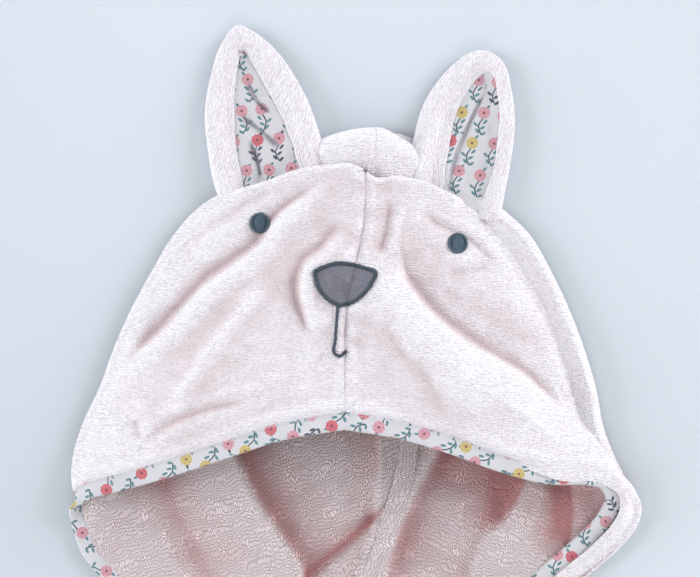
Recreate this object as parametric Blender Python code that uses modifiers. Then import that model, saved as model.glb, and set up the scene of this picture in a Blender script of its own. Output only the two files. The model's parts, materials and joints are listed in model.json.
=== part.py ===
"""Hooded baby towel: a square terry towel with a bound edge and a face hood with two ears.

World frame: +Z up, the towel lies flat on Z = 0, the hood points along +Y. The origin is the
middle of the whole object's footprint. Inside this file a place on the hood is given by x,
by v (its distance from the neck seam along +Y) and by z.
"""
import math

import bmesh
import bpy
from mathutils import Vector

# Driving dimensions, in metres
TOWEL_WIDTH = 0.75
TOWEL_LENGTH = 0.75
TOWEL_THICKNESS = 0.004
TOWEL_CORNER_RADIUS = 0.035
EAR_TIP_V = 0.3714            # the hood's whole length, from the neck seam to the longer ear's tip
NECK_Y = (TOWEL_LENGTH - EAR_TIP_V) / 2
NECK_HALF_WIDTH = 0.104
GAP = 0.0004                  # air between neighbouring pieces
SEAM_GAP = 0.0006             # from a panel's edge to the middle of its seam
FABRIC = 0.003                # thickness of the hood's terry
EAR_FABRIC = 0.0024
LINING = 0.001
EAR_RIM = 0.17                # share of an ear's width left bare on each side of its lining
BINDING_WIDTH = 0.0104
BINDING_THICKNESS = 0.0036
TAPE_THICKNESS = 0.001
FOLD_HEIGHT = 0.010           # height of the side folds, where face and back meet
CORNER_FOLD_HEIGHT = 0.0072   # and at the opening's corners
FOLD_REACH = 0.012            # how far in from a fold the cloth takes to rise or fall
FOLD_SHOULDER = 0.009         # how high the face rises within that reach
CORNER_SPARE = 0.006          # extra air beside the binding where it turns the corner
DOME_RISE_CROWN = 0.004       # how far the face stands above its shoulders, near the crown
DOME_RISE_BROW = 0.022        # and at the opening
EYE_RADIUS = 0.006
EYE_THICKNESS = 0.0012
NOSE_THREAD_RADIUS = 0.0012
MOUTH_THREAD_RADIUS = 0.0011

# Outlines of the hood as (x, v)
LEFT_SIDE = [(-0.082, 0.270), (-0.097, 0.260), (-0.110, 0.245), (-0.122, 0.225), (-0.136, 0.199),
             (-0.146, 0.176), (-0.154, 0.154), (-0.163, 0.135), (-0.169, 0.114), (-0.1698, 0.0945)]
RIGHT_SIDE = [(0.089, 0.262), (0.100, 0.249), (0.118, 0.219), (0.133, 0.184), (0.142, 0.155),
              (0.149, 0.130), (0.160, 0.110), (0.168, 0.0945)]
LEFT_CROWN = [(-0.082, 0.270), (-0.052, 0.288), (-0.024, 0.303), (-0.002, 0.3095), (0.012, 0.310)]
RIGHT_CROWN = [(0.089, 0.262), (0.063, 0.284), (0.043, 0.300), (0.024, 0.3095), (0.012, 0.310)]
FRONT_SEAM = [(0.012, 0.310), (0.007, 0.279), (0.003, 0.245), (-0.005, 0.190), (-0.007, 0.1422)]
BACK_SEAM = [(0.012, 0.310), (0.017, 0.250), (0.023, 0.180), (0.024, 0.110), (0.009, 0.041), (0.0, 0.001)]

# The opening's binding from the middle of the brow to the neck: x, v, z and the lean of its
# inner edge away from +Y towards the middle, in degrees
LEFT_RIM = [(-0.007, 0.1365, 0.0450, 0), (-0.046, 0.1295, 0.0420, -16), (-0.079, 0.1185, 0.0365, -18),
            (-0.118, 0.1060, 0.0270, -17), (-0.146, 0.0970, 0.0195, -12), (-0.160, 0.0920, 0.0150, -4),
            (-0.1680, 0.0865, 0.0085, 8), (-0.1668, 0.0790, 0.0038, 45), (-0.1645, 0.0700, 0.0020, 75),
            (-0.1615, 0.0600, 0.0020, 66), (-0.1550, 0.0505, 0.0020, 52), (-0.1380, 0.0335, 0.0020, 45),
            (-0.1220, 0.0180, 0.0020, 45), (-0.1075, 0.0060, 0.0020, 42)]
RIGHT_RIM = [(-0.007, 0.1365, 0.0450, 0), (0.026, 0.1315, 0.0435, -10), (0.056, 0.1220, 0.0390, -18),
             (0.086, 0.1115, 0.0325, -17), (0.116, 0.1030, 0.0255, -12), (0.144, 0.0960, 0.0190, -10),
             (0.158, 0.0920, 0.0150, -4), (0.1662, 0.0862, 0.0085, 8), (0.1650, 0.0790, 0.0038, 40),
             (0.1615, 0.0705, 0.0020, 62), (0.1545, 0.0600, 0.0020, 52), (0.1380, 0.0440, 0.0020, 45),
             (0.1220, 0.0260, 0.0020, 42), (0.1065, 0.0070, 0.0020, 40)]

# Ear outlines as (x, v), each side from the base to the tip
LEFT_EAR_OUTER = [(-0.083, 0.273), (-0.088, 0.290), (-0.0906, 0.318), (-0.086, 0.345), (-0.0745, 0.3714)]
LEFT_EAR_INNER = [(-0.018, 0.291), (-0.023, 0.308), (-0.030, 0.328), (-0.044, 0.352), (-0.067, 0.3714)]
RIGHT_EAR_INNER = [(0.031, 0.287), (0.034, 0.304), (0.042, 0.326), (0.056, 0.346), (0.0745, 0.3564)]
RIGHT_EAR_OUTER = [(0.084, 0.266), (0.092, 0.286), (0.0942, 0.311), (0.092, 0.335), (0.0815, 0.3564)]

# Places on the face as (x, v)
LEFT_EYE = (-0.0576, 0.2526)
RIGHT_EYE = (0.060, 0.2406)
NOSE = [(-0.0250, 0.2245), (-0.0125, 0.2275), (0.0005, 0.2260), (0.0115, 0.2235), (0.0050, 0.2120),
        (-0.0065, 0.2040), (-0.0140, 0.2055), (-0.0215, 0.2150)]
MOUTH = [(-0.0112, 0.2000), (-0.0125, 0.1880), (-0.0128, 0.1745), (-0.0065, 0.1765)]


def clear_scene():
    for thing in list(bpy.data.objects):
        bpy.data.objects.remove(thing)


def material(name, colour, roughness):
    """A matte cloth material."""
    made = bpy.data.materials.new(name)
    made.use_nodes = True
    shader = made.node_tree.nodes["Principled BSDF"]
    shader.inputs["Base Color"].default_value = (*colour, 1.0)
    shader.inputs["Roughness"].default_value = roughness
    shader.inputs["Metallic"].default_value = 0.0
    return made


def move_to(collection, thing):
    """Put an object in one collection only."""
    for holder in list(thing.users_collection):
        holder.objects.unlink(thing)
    collection.objects.link(thing)


def place(x, v, z):
    """World position of a place on the hood."""
    return Vector((x, NECK_Y + v, z))


def smooth(value):
    """Smooth step of a value between 0 and 1."""
    value = min(max(value, 0.0), 1.0)
    return value * value * (3 - 2 * value)


def fold_height(v):
    """Height of the side fold, which falls towards the opening's corners."""
    return FOLD_HEIGHT + (CORNER_FOLD_HEIGHT - FOLD_HEIGHT) * smooth((0.155 - v) / 0.05)


def route(points):
    """A smooth curve through the points, as a function of its share of length from 0 to 1."""
    knots = [Vector(point) for point in points]
    marks = [0.0]
    for first, second in zip(knots, knots[1:]):
        marks.append(marks[-1] + (second - first).length)
    last = len(knots) - 1
    slopes = []
    for i in range(len(knots)):
        low, high = max(i - 1, 0), min(i + 1, last)
        slopes.append((knots[high] - knots[low]) / (marks[high] - marks[low]))

    def at(share):
        run = min(max(share, 0.0), 1.0) * marks[-1]
        i = 0
        while i < last - 1 and run > marks[i + 1]:
            i += 1
        span = marks[i + 1] - marks[i]
        f = (run - marks[i]) / span
        return (knots[i] * (2 * f**3 - 3 * f**2 + 1) + slopes[i] * span * (f**3 - 2 * f**2 + f)
                + knots[i + 1] * (3 * f**2 - 2 * f**3) + slopes[i + 1] * span * (f**3 - f**2))
    return at


def distance_to(line, point):
    """Distance in plan from a point to a line of points."""
    best = 1.0
    for first, second in zip(line, line[1:]):
        along = second - first
        f = min(max((point - first).dot(along) / along.length_squared, 0.0), 1.0)
        best = min(best, (point - first - along * f).length)
    return best


class Rim:
    """One half of the opening's edge: its line, and its inward direction along the cloth."""

    def __init__(self, rows):
        self.line = route([row[:3] for row in rows])
        self.rows = rows
        self.side = -1 if rows[3][0] < 0 else 1
        lengths = [0.0]
        for first, second in zip(rows, rows[1:]):
            lengths.append(lengths[-1] + (Vector(second[:3]) - Vector(first[:3])).length)
        self.marks = [length / lengths[-1] for length in lengths]
        self.corner = self.marks[6 if self.side < 0 else 7]

    def inward(self, share):
        i = 0
        while i < len(self.marks) - 2 and share > self.marks[i + 1]:
            i += 1
        f = smooth((share - self.marks[i]) / (self.marks[i + 1] - self.marks[i]))
        lean = math.radians(self.rows[i][3] * (1 - f) + self.rows[i + 1][3] * f)
        return Vector((-self.side * math.sin(lean), math.cos(lean), 0))

    def frame(self, share):
        """Centre, inward direction and outside normal of the binding."""
        step = 0.004
        travel = (self.line(share + step) - self.line(share - step)).normalized()
        inward = self.inward(share)
        inward = (inward - travel * inward.dot(travel)).normalized()
        normal = inward.cross(travel) if self.side < 0 else travel.cross(inward)
        return self.line(share), inward, normal.normalized()

    def inner_edge(self, share, spare=0.0):
        """Where the cloth starts, just inside the binding."""
        centre, inward, normal = self.frame(share)
        return centre + inward * (BINDING_WIDTH / 2 + 3 * GAP + spare)


class Face:
    """The outside surface of one front panel: u runs from its side fold to the front seam,
    s from the crown to the opening."""

    def __init__(self, side_points, crown_points, rim):
        self.side = route(side_points)
        self.crown = route(crown_points)
        self.seam = route(FRONT_SEAM)
        self.rim = rim
        self.folds = [self.crown(1 - i / 40) for i in range(40)] + [self.side(i / 60) for i in range(61)]

    def lip(self, u):
        return self.rim.inner_edge(self.rim.corner * 0.97 * (1 - u))

    def plan(self, u, s):
        lip = self.lip(u).to_2d()
        corners = (self.side(0) * (1 - u) * (1 - s) + self.seam(0) * u * (1 - s)
                   + self.side(1) * (1 - u) * s + self.seam(1) * u * s)
        ends = self.lip(0).to_2d() * (1 - u) + self.lip(1).to_2d() * u
        return (self.side(s) * (1 - u) + self.seam(s) * u + self.crown(u) * (1 - s)
                + (lip - ends) * s + (self.side(1) * (1 - u) + self.seam(1) * u) * s - corners)

    def height(self, u, s, spot):
        away = distance_to(self.folds, spot)
        rise = DOME_RISE_CROWN + (DOME_RISE_BROW - DOME_RISE_CROWN) * s
        free = fold_height(spot.y) + FABRIC + GAP + FOLD_SHOULDER * (1 - math.exp(-2 * away / FOLD_REACH))
        free += rise * math.sin(u * math.pi / 2) * smooth(away / 0.05)
        at_rim = smooth((s - 0.55) / 0.45) * smooth(u / 0.06)
        return free * (1 - at_rim) + (self.lip(u).z + BINDING_THICKNESS / 2) * at_rim

    def point(self, u, s):
        spot = self.plan(u, s)
        return place(spot.x, spot.y, self.height(u, s, spot))

    def find(self, x, v):
        """The place and outside normal of the face at a given x and v."""
        u, s = 0.5, 0.5
        for _ in range(40):
            spot = self.plan(u, s)
            across = self.plan(u + 0.01, s) - spot
            down = self.plan(u, s + 0.01) - spot
            miss = Vector((x, v)) - spot
            scale = across.x * down.y - across.y * down.x
            u += 0.01 * (miss.x * down.y - miss.y * down.x) / scale
            s += 0.01 * (across.x * miss.y - across.y * miss.x) / scale
            u, s = min(max(u, 0.0), 1.0), min(max(s, 0.0), 0.98)
        centre = self.point(u, s)
        normal = (self.point(u, s + 0.02) - centre).cross(self.point(max(u - 0.03, 0), s) - centre)
        normal.normalize()
        return centre, normal if normal.z > 0 else -normal


class Back:
    """The outside surface of one back panel: u runs from its side fold to the back seam,
    s from the crown to the neck."""

    def __init__(self, side_points, crown_points, rim):
        self.crown = route(crown_points)
        self.seam = route(BACK_SEAM)
        free_edge = []
        for i in range(1, 13):
            share = rim.corner + (1 - rim.corner) * (i / 12)
            free_edge.append(rim.inner_edge(share, CORNER_SPARE * (1 - smooth(i / 5))).to_2d())
        self.side = route([Vector(point) for point in side_points] + free_edge[1:])
        fold = route(side_points)
        self.folds = [self.crown(1 - i / 40) for i in range(40)] + [fold(i / 60) for i in range(61)]

    def plan(self, u, s):
        neck = self.side(1) * (1 - u) + self.seam(1) * u
        corners = (self.side(0) * (1 - u) * (1 - s) + self.seam(0) * u * (1 - s)
                   + self.side(1) * (1 - u) * s + self.seam(1) * u * s)
        return self.side(s) * (1 - u) + self.seam(s) * u + self.crown(u) * (1 - s) + neck * s - corners

    def point(self, u, s):
        spot = self.plan(u, s)
        away = distance_to(self.folds, spot)
        edge = fold_height(spot.y) - FABRIC - GAP
        return place(spot.x, spot.y, edge * (1 - smooth(away / (1.6 * FOLD_REACH))))


def warped_grid(name, surface, columns, rows, thickness, cloth):
    """A sheet of cloth: a grid laid over a surface function, then given its thickness upwards."""
    sheet = bmesh.new()
    bmesh.ops.create_grid(sheet, x_segments=columns - 1, y_segments=rows - 1, size=0.5)
    for vert in sheet.verts:
        vert.co = surface(vert.co.x + 0.5, vert.co.y + 0.5)
    raised = bmesh.ops.extrude_face_region(sheet, geom=sheet.faces[:])
    upper = [item for item in raised["geom"] if isinstance(item, bmesh.types.BMVert)]
    bmesh.ops.translate(sheet, verts=upper, vec=(0, 0, thickness))
    bmesh.ops.recalc_face_normals(sheet, faces=sheet.faces)
    return finish_mesh(name, sheet, cloth)


def finish_mesh(name, shape, cloth):
    """Turn a built shape into a named object of the part."""
    mesh = bpy.data.meshes.new(name)
    shape.to_mesh(mesh)
    shape.free()
    made = bpy.data.objects.new(name, mesh)
    mesh.materials.append(cloth)
    mesh.shade_smooth()
    mesh.set_sharp_from_angle(angle=math.radians(50))
    parts.objects.link(made)
    return made


def sweep(name, frames, section, cloth, closed=False):
    """A band: a section of (inward, normal) points carried along a row of frames."""
    band = bmesh.new()
    rings = []
    for centre, inward, normal in frames:
        rings.append([band.verts.new(centre + inward * a + normal * b) for a, b in section])
    pairs = list(zip(rings, rings[1:]))
    if closed:
        pairs.append((rings[-1], rings[0]))
    else:
        band.faces.new(rings[0])
        band.faces.new(reversed(rings[-1]))
    count = len(section)
    for first, second in pairs:
        for i in range(count):
            j = (i + 1) % count
            band.faces.new((first[j], first[i], second[i], second[j]))
    bmesh.ops.recalc_face_normals(band, faces=band.faces)
    return finish_mesh(name, band, cloth)


def rounded_band(width, thickness):
    """Section of a pressed binding: a rectangle with its corners taken off."""
    a, b = width / 2, thickness / 2
    cut = thickness * 0.28
    return [(-a, -b + cut), (-a + cut, -b), (a - cut, -b), (a, -b + cut),
            (a, b - cut), (a - cut, b), (-a + cut, b), (-a, b - cut)]


def round_section(radius):
    """Section of a raised line of stitching."""
    turns = [math.tau * i / 8 for i in range(8)]
    return [(radius * math.cos(turn), radius * math.sin(turn)) for turn in turns]


def slab(name, outline, low, high):
    """A flat piece of cloth: a filled outline between two heights, as a mesh object."""
    flat = bpy.data.curves.new(name, "CURVE")
    flat.dimensions = "2D"
    flat.fill_mode = "BOTH"
    flat.extrude = (high - low) / 2
    line = flat.splines.new("POLY")
    line.points.add(len(outline) - 1)
    for point, (x, y) in zip(line.points, outline):
        point.co = (x, y, 0, 1)
    line.use_cyclic_u = True
    guide = bpy.data.objects.new(name + "_outline", flat)
    parts.objects.link(guide)
    bpy.context.view_layer.update()
    mesh = bpy.data.meshes.new_from_object(guide.evaluated_get(bpy.context.evaluated_depsgraph_get()))
    bpy.data.objects.remove(guide)
    body = bmesh.new()
    body.from_mesh(mesh)
    bmesh.ops.remove_doubles(body, verts=body.verts, dist=0.00001)
    bmesh.ops.translate(body, verts=body.verts, vec=(0, 0, (low + high) / 2))
    bmesh.ops.recalc_face_normals(body, faces=body.faces)
    body.to_mesh(mesh)
    body.free()
    return bpy.data.objects.new(name, mesh)


def rounded_rectangle(inset, top_inset):
    """The towel's outline, drawn in from its edges; its lower corners are round."""
    half = TOWEL_WIDTH / 2 - inset
    bottom = NECK_Y - TOWEL_LENGTH + inset
    top = NECK_Y - top_inset
    radius = TOWEL_CORNER_RADIUS - inset
    outline = []
    for cx, cy, start in ((half, top, 0), (-half, top, 90), (-half, bottom, 180), (half, bottom, 270)):
        middle = (cx - math.copysign(radius, cx), cy - math.copysign(radius, cy))
        for i in range(7):
            turn = math.radians(start + 15 * i)
            outline.append((middle[0] + radius * math.cos(turn), middle[1] + radius * math.sin(turn)))
    return outline


def towel_panel(cloth):
    """The towel: a thick field, a thin rim inside the binding, and a tab at the neck seam."""
    field = slab("towel_panel", rounded_rectangle(BINDING_WIDTH + GAP, BINDING_WIDTH + GAP),
                 0, TOWEL_THICKNESS)
    rim = slab("towel_rim", rounded_rectangle(0.0015, 0.0015), 0.0013, TOWEL_THICKNESS - 0.0013)
    bpy.ops.mesh.primitive_cube_add(size=1)
    tab = bpy.context.object
    tab.name = "towel_neck_tab"
    tab.scale = (2 * NECK_HALF_WIDTH, 0.04, TOWEL_THICKNESS)
    tab.location = (0, NECK_Y - 0.0203, TOWEL_THICKNESS / 2)
    bpy.ops.object.transform_apply(location=True, rotation=False, scale=True)
    for helper in (rim, tab):
        move_to(cutters, helper)
        helper.hide_render = True
        helper.display_type = "WIRE"
        join = field.modifiers.new("Join " + helper.name, "BOOLEAN")
        join.operation = "UNION"
        join.object = helper
    field.data.materials.append(cloth)
    parts.objects.link(field)


def towel_edge_binding(cloth):
    """Binding folded round the towel's free edges, open at the neck seam."""
    outline = rounded_rectangle(BINDING_WIDTH / 2, BINDING_WIDTH / 2)
    start = (-NECK_HALF_WIDTH - GAP, NECK_Y - BINDING_WIDTH / 2)
    corners = len(outline) // 4
    line = [start] + outline[corners:] + outline[:corners] + [(-start[0], start[1])]
    line = [Vector((x, y, TOWEL_THICKNESS / 2)) for x, y in line]
    frames = []
    for i, spot in enumerate(line):
        travel = (line[min(i + 1, len(line) - 1)] - line[max(i - 1, 0)]).normalized()
        frames.append((spot, Vector((-travel.y, travel.x, 0)), Vector((0, 0, 1))))
    half, lip, slot = BINDING_WIDTH / 2, TOWEL_THICKNESS / 2, 0.0010
    section = [(-half, -lip), (half, -lip), (half, -slot), (-half + 0.0012, -slot),
               (-half + 0.0012, slot), (half, slot), (half, lip), (-half, lip)]
    sweep("towel_edge_binding", frames, section, cloth)


def neck_seam_tape(cloth):
    """Tape over the seam allowance, on the towel's side of the neck seam."""
    low = TOWEL_THICKNESS + GAP
    frames = []
    for i in range(9):
        x = (i / 4 - 1) * (NECK_HALF_WIDTH - 0.004)
        frames.append((Vector((x, NECK_Y - 0.0085, low + TAPE_THICKNESS / 2)), Vector((0, 1, 0)),
                       Vector((0, 0, 1))))
    sweep("neck_seam_tape", frames, rounded_band(0.013, TAPE_THICKNESS), cloth)


def spread(share, reach):
    """A share from 0 to 1, drawn towards 0 so that the grid is finer along a fold."""
    return share * (reach + (1 - reach) * share**0.6)


def hood_panel(name, shape, columns, rows, cloth, lift):
    """One hood panel, held a hair's breadth away from the seam in the middle."""
    def surface(a, b):
        wide = max(abs(shape.seam(b).x - shape.side(b).x), 0.06)
        u = spread(a, 0.45) * (1 - SEAM_GAP / wide)
        return shape.point(u, spread(b, 0.6)) + Vector((0, 0, lift))
    return warped_grid(name, surface, columns, rows, FABRIC, cloth)


def hood_binding(cloth, left, right):
    """The binding round the opening, from one side of the neck over the brow to the other."""
    steps = 34
    frames = []
    for i in range(steps):
        centre, inward, normal = right.frame(1 - i / steps)
        frames.append((place(*centre), inward, normal))
    for i in range(steps + 1):
        centre, inward, normal = left.frame(i / steps)
        frames.append((place(*centre), inward, normal))
    sweep("hood_opening_binding", frames, rounded_band(BINDING_WIDTH, BINDING_THICKNESS), cloth)


def seam_tapes(cloth, face, back):
    """The taped seam allowances on the inside of the front and back centre seams."""
    across, up = Vector((1, 0, 0)), Vector((0, 0, 1))
    frames = []
    for i in range(12):
        spot = face.point(1, 0.12 + 0.80 * i / 11)
        frames.append((spot - up * (FABRIC + 3 * GAP + TAPE_THICKNESS), across, up))
    sweep("hood_front_seam_tape", frames, rounded_band(0.010, TAPE_THICKNESS), cloth)
    frames = []
    for i in range(14):
        spot = back.point(1, 0.10 + 0.86 * i / 13)
        frames.append((spot + up * (FABRIC + GAP + TAPE_THICKNESS / 2), across, up))
    sweep("hood_back_seam_tape", frames, rounded_band(0.016, TAPE_THICKNESS), cloth)


def disc_on(name, face, spot, radius, thickness, cloth):
    """A round embroidered patch lying on the face."""
    centre, normal = face.find(*spot)
    bpy.ops.mesh.primitive_cylinder_add(vertices=24, radius=radius, depth=thickness)
    disc = bpy.context.object
    disc.name = name
    disc.location = centre + normal * (thickness / 2 + 2 * GAP)
    disc.rotation_euler = Vector((0, 0, 1)).rotation_difference(normal).to_euler()
    disc.data.materials.append(cloth)
    soften = disc.modifiers.new("Soft edge", "BEVEL")
    soften.width = thickness * 0.3
    soften.segments = 1
    soften.limit_method = "ANGLE"
    move_to(parts, disc)


def nose(patch_cloth, thread, left, right):
    """The filled nose and the stitched cord round it."""
    outline = route(NOSE + [NOSE[0]])
    middle = sum((Vector(point) for point in NOSE), Vector((0, 0))) / len(NOSE)

    def on_face(spot, lift):
        face = left if spot.x < left.seam(0.5).x else right
        centre, normal = face.find(spot.x, spot.y)
        return centre + Vector((0, 0, 1)) * lift

    steps = 36
    ring = [outline(i / steps) for i in range(steps)]
    line = [on_face(spot, NOSE_THREAD_RADIUS + 2 * GAP) for spot in ring]
    frames = []
    for i, spot in enumerate(line):
        travel = (line[(i + 1) % steps] - line[i - 1]).normalized()
        side = Vector((-travel.y, travel.x, 0)).normalized()
        frames.append((spot, side, Vector((0, 0, 1))))
    section = round_section(NOSE_THREAD_RADIUS)
    sweep("nose_border", frames, section, thread, closed=True)

    patch = bmesh.new()
    rings = []
    for share in (1.0, 0.66, 0.33):
        verts = []
        for spot in ring:
            reach = (spot - middle).length
            inner = middle + (spot - middle) * ((reach - 1.6 * NOSE_THREAD_RADIUS - GAP) / reach) * share
            verts.append(patch.verts.new(on_face(inner, 3 * GAP)))
        rings.append(verts)
    hub = patch.verts.new(on_face(middle, 3 * GAP))
    for first, second in zip(rings, rings[1:]):
        for i in range(steps):
            j = (i + 1) % steps
            patch.faces.new((first[i], first[j], second[j], second[i]))
    for i in range(steps):
        patch.faces.new((rings[-1][i], rings[-1][(i + 1) % steps], hub))
    raised = bmesh.ops.extrude_face_region(patch, geom=patch.faces[:])
    upper = [item for item in raised["geom"] if isinstance(item, bmesh.types.BMVert)]
    bmesh.ops.translate(patch, verts=upper, vec=(0, 0, LINING))
    bmesh.ops.recalc_face_normals(patch, faces=patch.faces)
    finish_mesh("nose_patch", patch, patch_cloth)


def mouth(thread, left, right):
    """The mouth: a short upright line of stitching with a small turn at its end."""
    line = route(MOUTH)
    steps = 14
    spots = []
    for i in range(steps + 1):
        spot = line(i / steps)
        face = left if spot.x < left.seam(0.8).x else right
        centre, normal = face.find(spot.x, spot.y)
        spots.append(centre + Vector((0, 0, MOUTH_THREAD_RADIUS + 2 * GAP)))
    frames = []
    for i, spot in enumerate(spots):
        travel = (spots[min(i + 1, steps)] - spots[max(i - 1, 0)]).normalized()
        frames.append((spot, Vector((-travel.y, travel.x, 0)).normalized(), Vector((0, 0, 1))))
    section = round_section(MOUTH_THREAD_RADIUS)
    sweep("mouth_stitch", frames, section, thread)


class Ear:
    """The upper surface of one ear's back layer: a runs across it, b from its base to its tip."""

    def __init__(self, outer, inner, outer_base, inner_base):
        self.outer, self.inner = route(outer), route(inner)
        self.outer_base, self.inner_base = outer_base, inner_base

    def point(self, a, b, lift=0.0):
        spot = self.outer(b) * (1 - a) + self.inner(b) * a
        base = self.outer_base * (1 - a) + self.inner_base * a
        tip = EAR_FABRIC + 0.0015
        drop = smooth(b / 0.75)
        dish = 0.005 * (2 * a - 1)**2 * math.sin(math.pi * min(b + 0.08, 1.0))
        return place(spot.x, spot.y, base * (1 - drop) + tip * drop + dish + lift)


def ear(side, shape, back_cloth, lining_cloth):
    """One ear: a velour back with a printed lining inside its rim."""
    def back_surface(a, b):
        return shape.point(a, b, -EAR_FABRIC)

    def lining_surface(a, b):
        return shape.point(EAR_RIM + (1 - 2 * EAR_RIM) * a, 0.03 + 0.85 * b, GAP)
    pivot = (shape.point(0, 0) + shape.point(1, 0)) / 2
    for name, surface, thickness, cloth in ((side + "_ear_back", back_surface, EAR_FABRIC, back_cloth),
                                            (side + "_ear_lining", lining_surface, LINING, lining_cloth)):
        piece = warped_grid(name, surface, 9, 11, thickness, cloth)
        piece.data.transform(piece.matrix_world.Translation(-pivot))
        piece.location = pivot


clear_scene()
parts = bpy.data.collections.new("hooded_baby_towel")
cutters = bpy.data.collections.new("cutters")
for collection in (parts, cutters):
    bpy.context.scene.collection.children.link(collection)

pink_velour = material("pink_velour", (0.80, 0.69, 0.70), 0.95)
pink_terry = material("pink_terry", (0.74, 0.60, 0.61), 0.97)
printed_cotton = material("printed_cotton", (0.80, 0.79, 0.78), 0.85)
cotton_tape = material("cotton_tape", (0.80, 0.72, 0.73), 0.90)
grey_thread = material("grey_thread", (0.19, 0.19, 0.22), 0.60)
slate_thread = material("slate_thread", (0.06, 0.10, 0.13), 0.55)

towel_panel(pink_terry)
towel_edge_binding(printed_cotton)
neck_seam_tape(cotton_tape)

left_rim, right_rim = Rim(LEFT_RIM), Rim(RIGHT_RIM)
left_face = Face(LEFT_SIDE, LEFT_CROWN, left_rim)
right_face = Face(RIGHT_SIDE, RIGHT_CROWN, right_rim)
left_back = Back(LEFT_SIDE, LEFT_CROWN, left_rim)
right_back = Back(RIGHT_SIDE, RIGHT_CROWN, right_rim)
hood_panel("hood_face_left", left_face, 14, 15, pink_velour, -FABRIC)
hood_panel("hood_face_right", right_face, 14, 15, pink_velour, -FABRIC)
hood_panel("hood_back_left", left_back, 12, 20, pink_velour, 0)
hood_panel("hood_back_right", right_back, 12, 20, pink_velour, 0)
hood_binding(printed_cotton, left_rim, right_rim)
seam_tapes(cotton_tape, left_face, left_back)
disc_on("left_eye", left_face, LEFT_EYE, EYE_RADIUS, EYE_THICKNESS, slate_thread)
disc_on("right_eye", right_face, RIGHT_EYE, EYE_RADIUS, EYE_THICKNESS, slate_thread)
nose(grey_thread, slate_thread, left_face, right_face)
mouth(slate_thread, left_face, right_face)
ear("left", Ear(LEFT_EAR_OUTER, LEFT_EAR_INNER, 0.024, 0.033), pink_velour, printed_cotton)
ear("right", Ear(RIGHT_EAR_OUTER, RIGHT_EAR_INNER, 0.025, 0.033), pink_velour, printed_cotton)
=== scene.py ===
"""Looks of the hooded baby towel: velour hood with a stitched face, two lined ears, a printed
binding round the opening, a terry inside, and the towel that it is sewn to.

World frame: +Z up, the towel lies flat on Z = 0, the hood points along +Y. A place on the hood is
given by x and by v, its distance from the neck seam along +Y. Lengths are metres.
"""
import json
import math

import bmesh
import bpy
import numpy as np
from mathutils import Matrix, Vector


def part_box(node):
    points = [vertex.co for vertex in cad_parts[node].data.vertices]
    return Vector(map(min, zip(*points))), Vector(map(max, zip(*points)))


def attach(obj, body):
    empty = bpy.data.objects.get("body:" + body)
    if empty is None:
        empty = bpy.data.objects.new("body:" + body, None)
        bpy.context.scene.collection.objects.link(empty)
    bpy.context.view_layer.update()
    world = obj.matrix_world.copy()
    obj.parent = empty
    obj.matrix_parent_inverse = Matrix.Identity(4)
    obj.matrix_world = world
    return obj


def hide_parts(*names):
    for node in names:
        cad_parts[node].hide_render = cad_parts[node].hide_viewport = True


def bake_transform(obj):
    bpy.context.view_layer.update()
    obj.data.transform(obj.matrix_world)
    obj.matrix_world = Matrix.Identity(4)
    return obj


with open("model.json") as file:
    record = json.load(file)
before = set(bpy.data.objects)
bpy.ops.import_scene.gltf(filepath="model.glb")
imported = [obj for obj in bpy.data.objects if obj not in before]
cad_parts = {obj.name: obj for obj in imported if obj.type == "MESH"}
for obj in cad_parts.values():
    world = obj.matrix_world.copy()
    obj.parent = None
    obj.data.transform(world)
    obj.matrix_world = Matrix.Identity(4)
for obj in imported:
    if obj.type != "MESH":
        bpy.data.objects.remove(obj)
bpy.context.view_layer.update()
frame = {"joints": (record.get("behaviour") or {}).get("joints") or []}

JOINTS = {joint["name"]: joint for joint in frame["joints"]}
NECK_Y = JOINTS["neck_fold"]["pos_m"][1]
TOWEL_LOW, TOWEL_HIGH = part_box("towel_panel")

# Cloth
VELOUR_THICKNESS = 0.0024
TERRY_THICKNESS = 0.0024
TOWEL_THICKNESS = 0.00342
LINING_THICKNESS = 0.0008
BAND_HALF_WIDTH = 0.0052
BAND_HALF_THICKNESS = 0.0017
SIDE_ROLL = 0.0050            # radius of the hood's side folds in plan
ROLL_START = 0.6              # slope at which a rolled edge takes over from its sheet, in radians
NECK_BEND = 0.030             # how far from the neck seam the bend given for the hood's cloth would reach; nothing bends the cloth by it
EAR_BEND = 0.024              # and an ear's, from its root

# Shape of the face
SHOULDER = 0.0095             # rise from a side fold to the flat of the face
SHOULDER_REACH = 0.012
CROWN_RISE = 0.005
BROW_RISE = 0.020
FLOOR_GAP = 0.0004
SEAM_GAP = 0.00001
WELD_REACH = 0.00002           # points of a folded sheet this near each other are one
UV_DROP = 0.15                # how much of a point's height moves its place in the weave
EDGE_LOW = 0.0030             # height to which a rolled edge comes down
TOP_EDGE_ROLL = 0.0026        # the face's top edge folds under, over the ears' roots
TOP_EDGE_DROP = 0.0048

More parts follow.
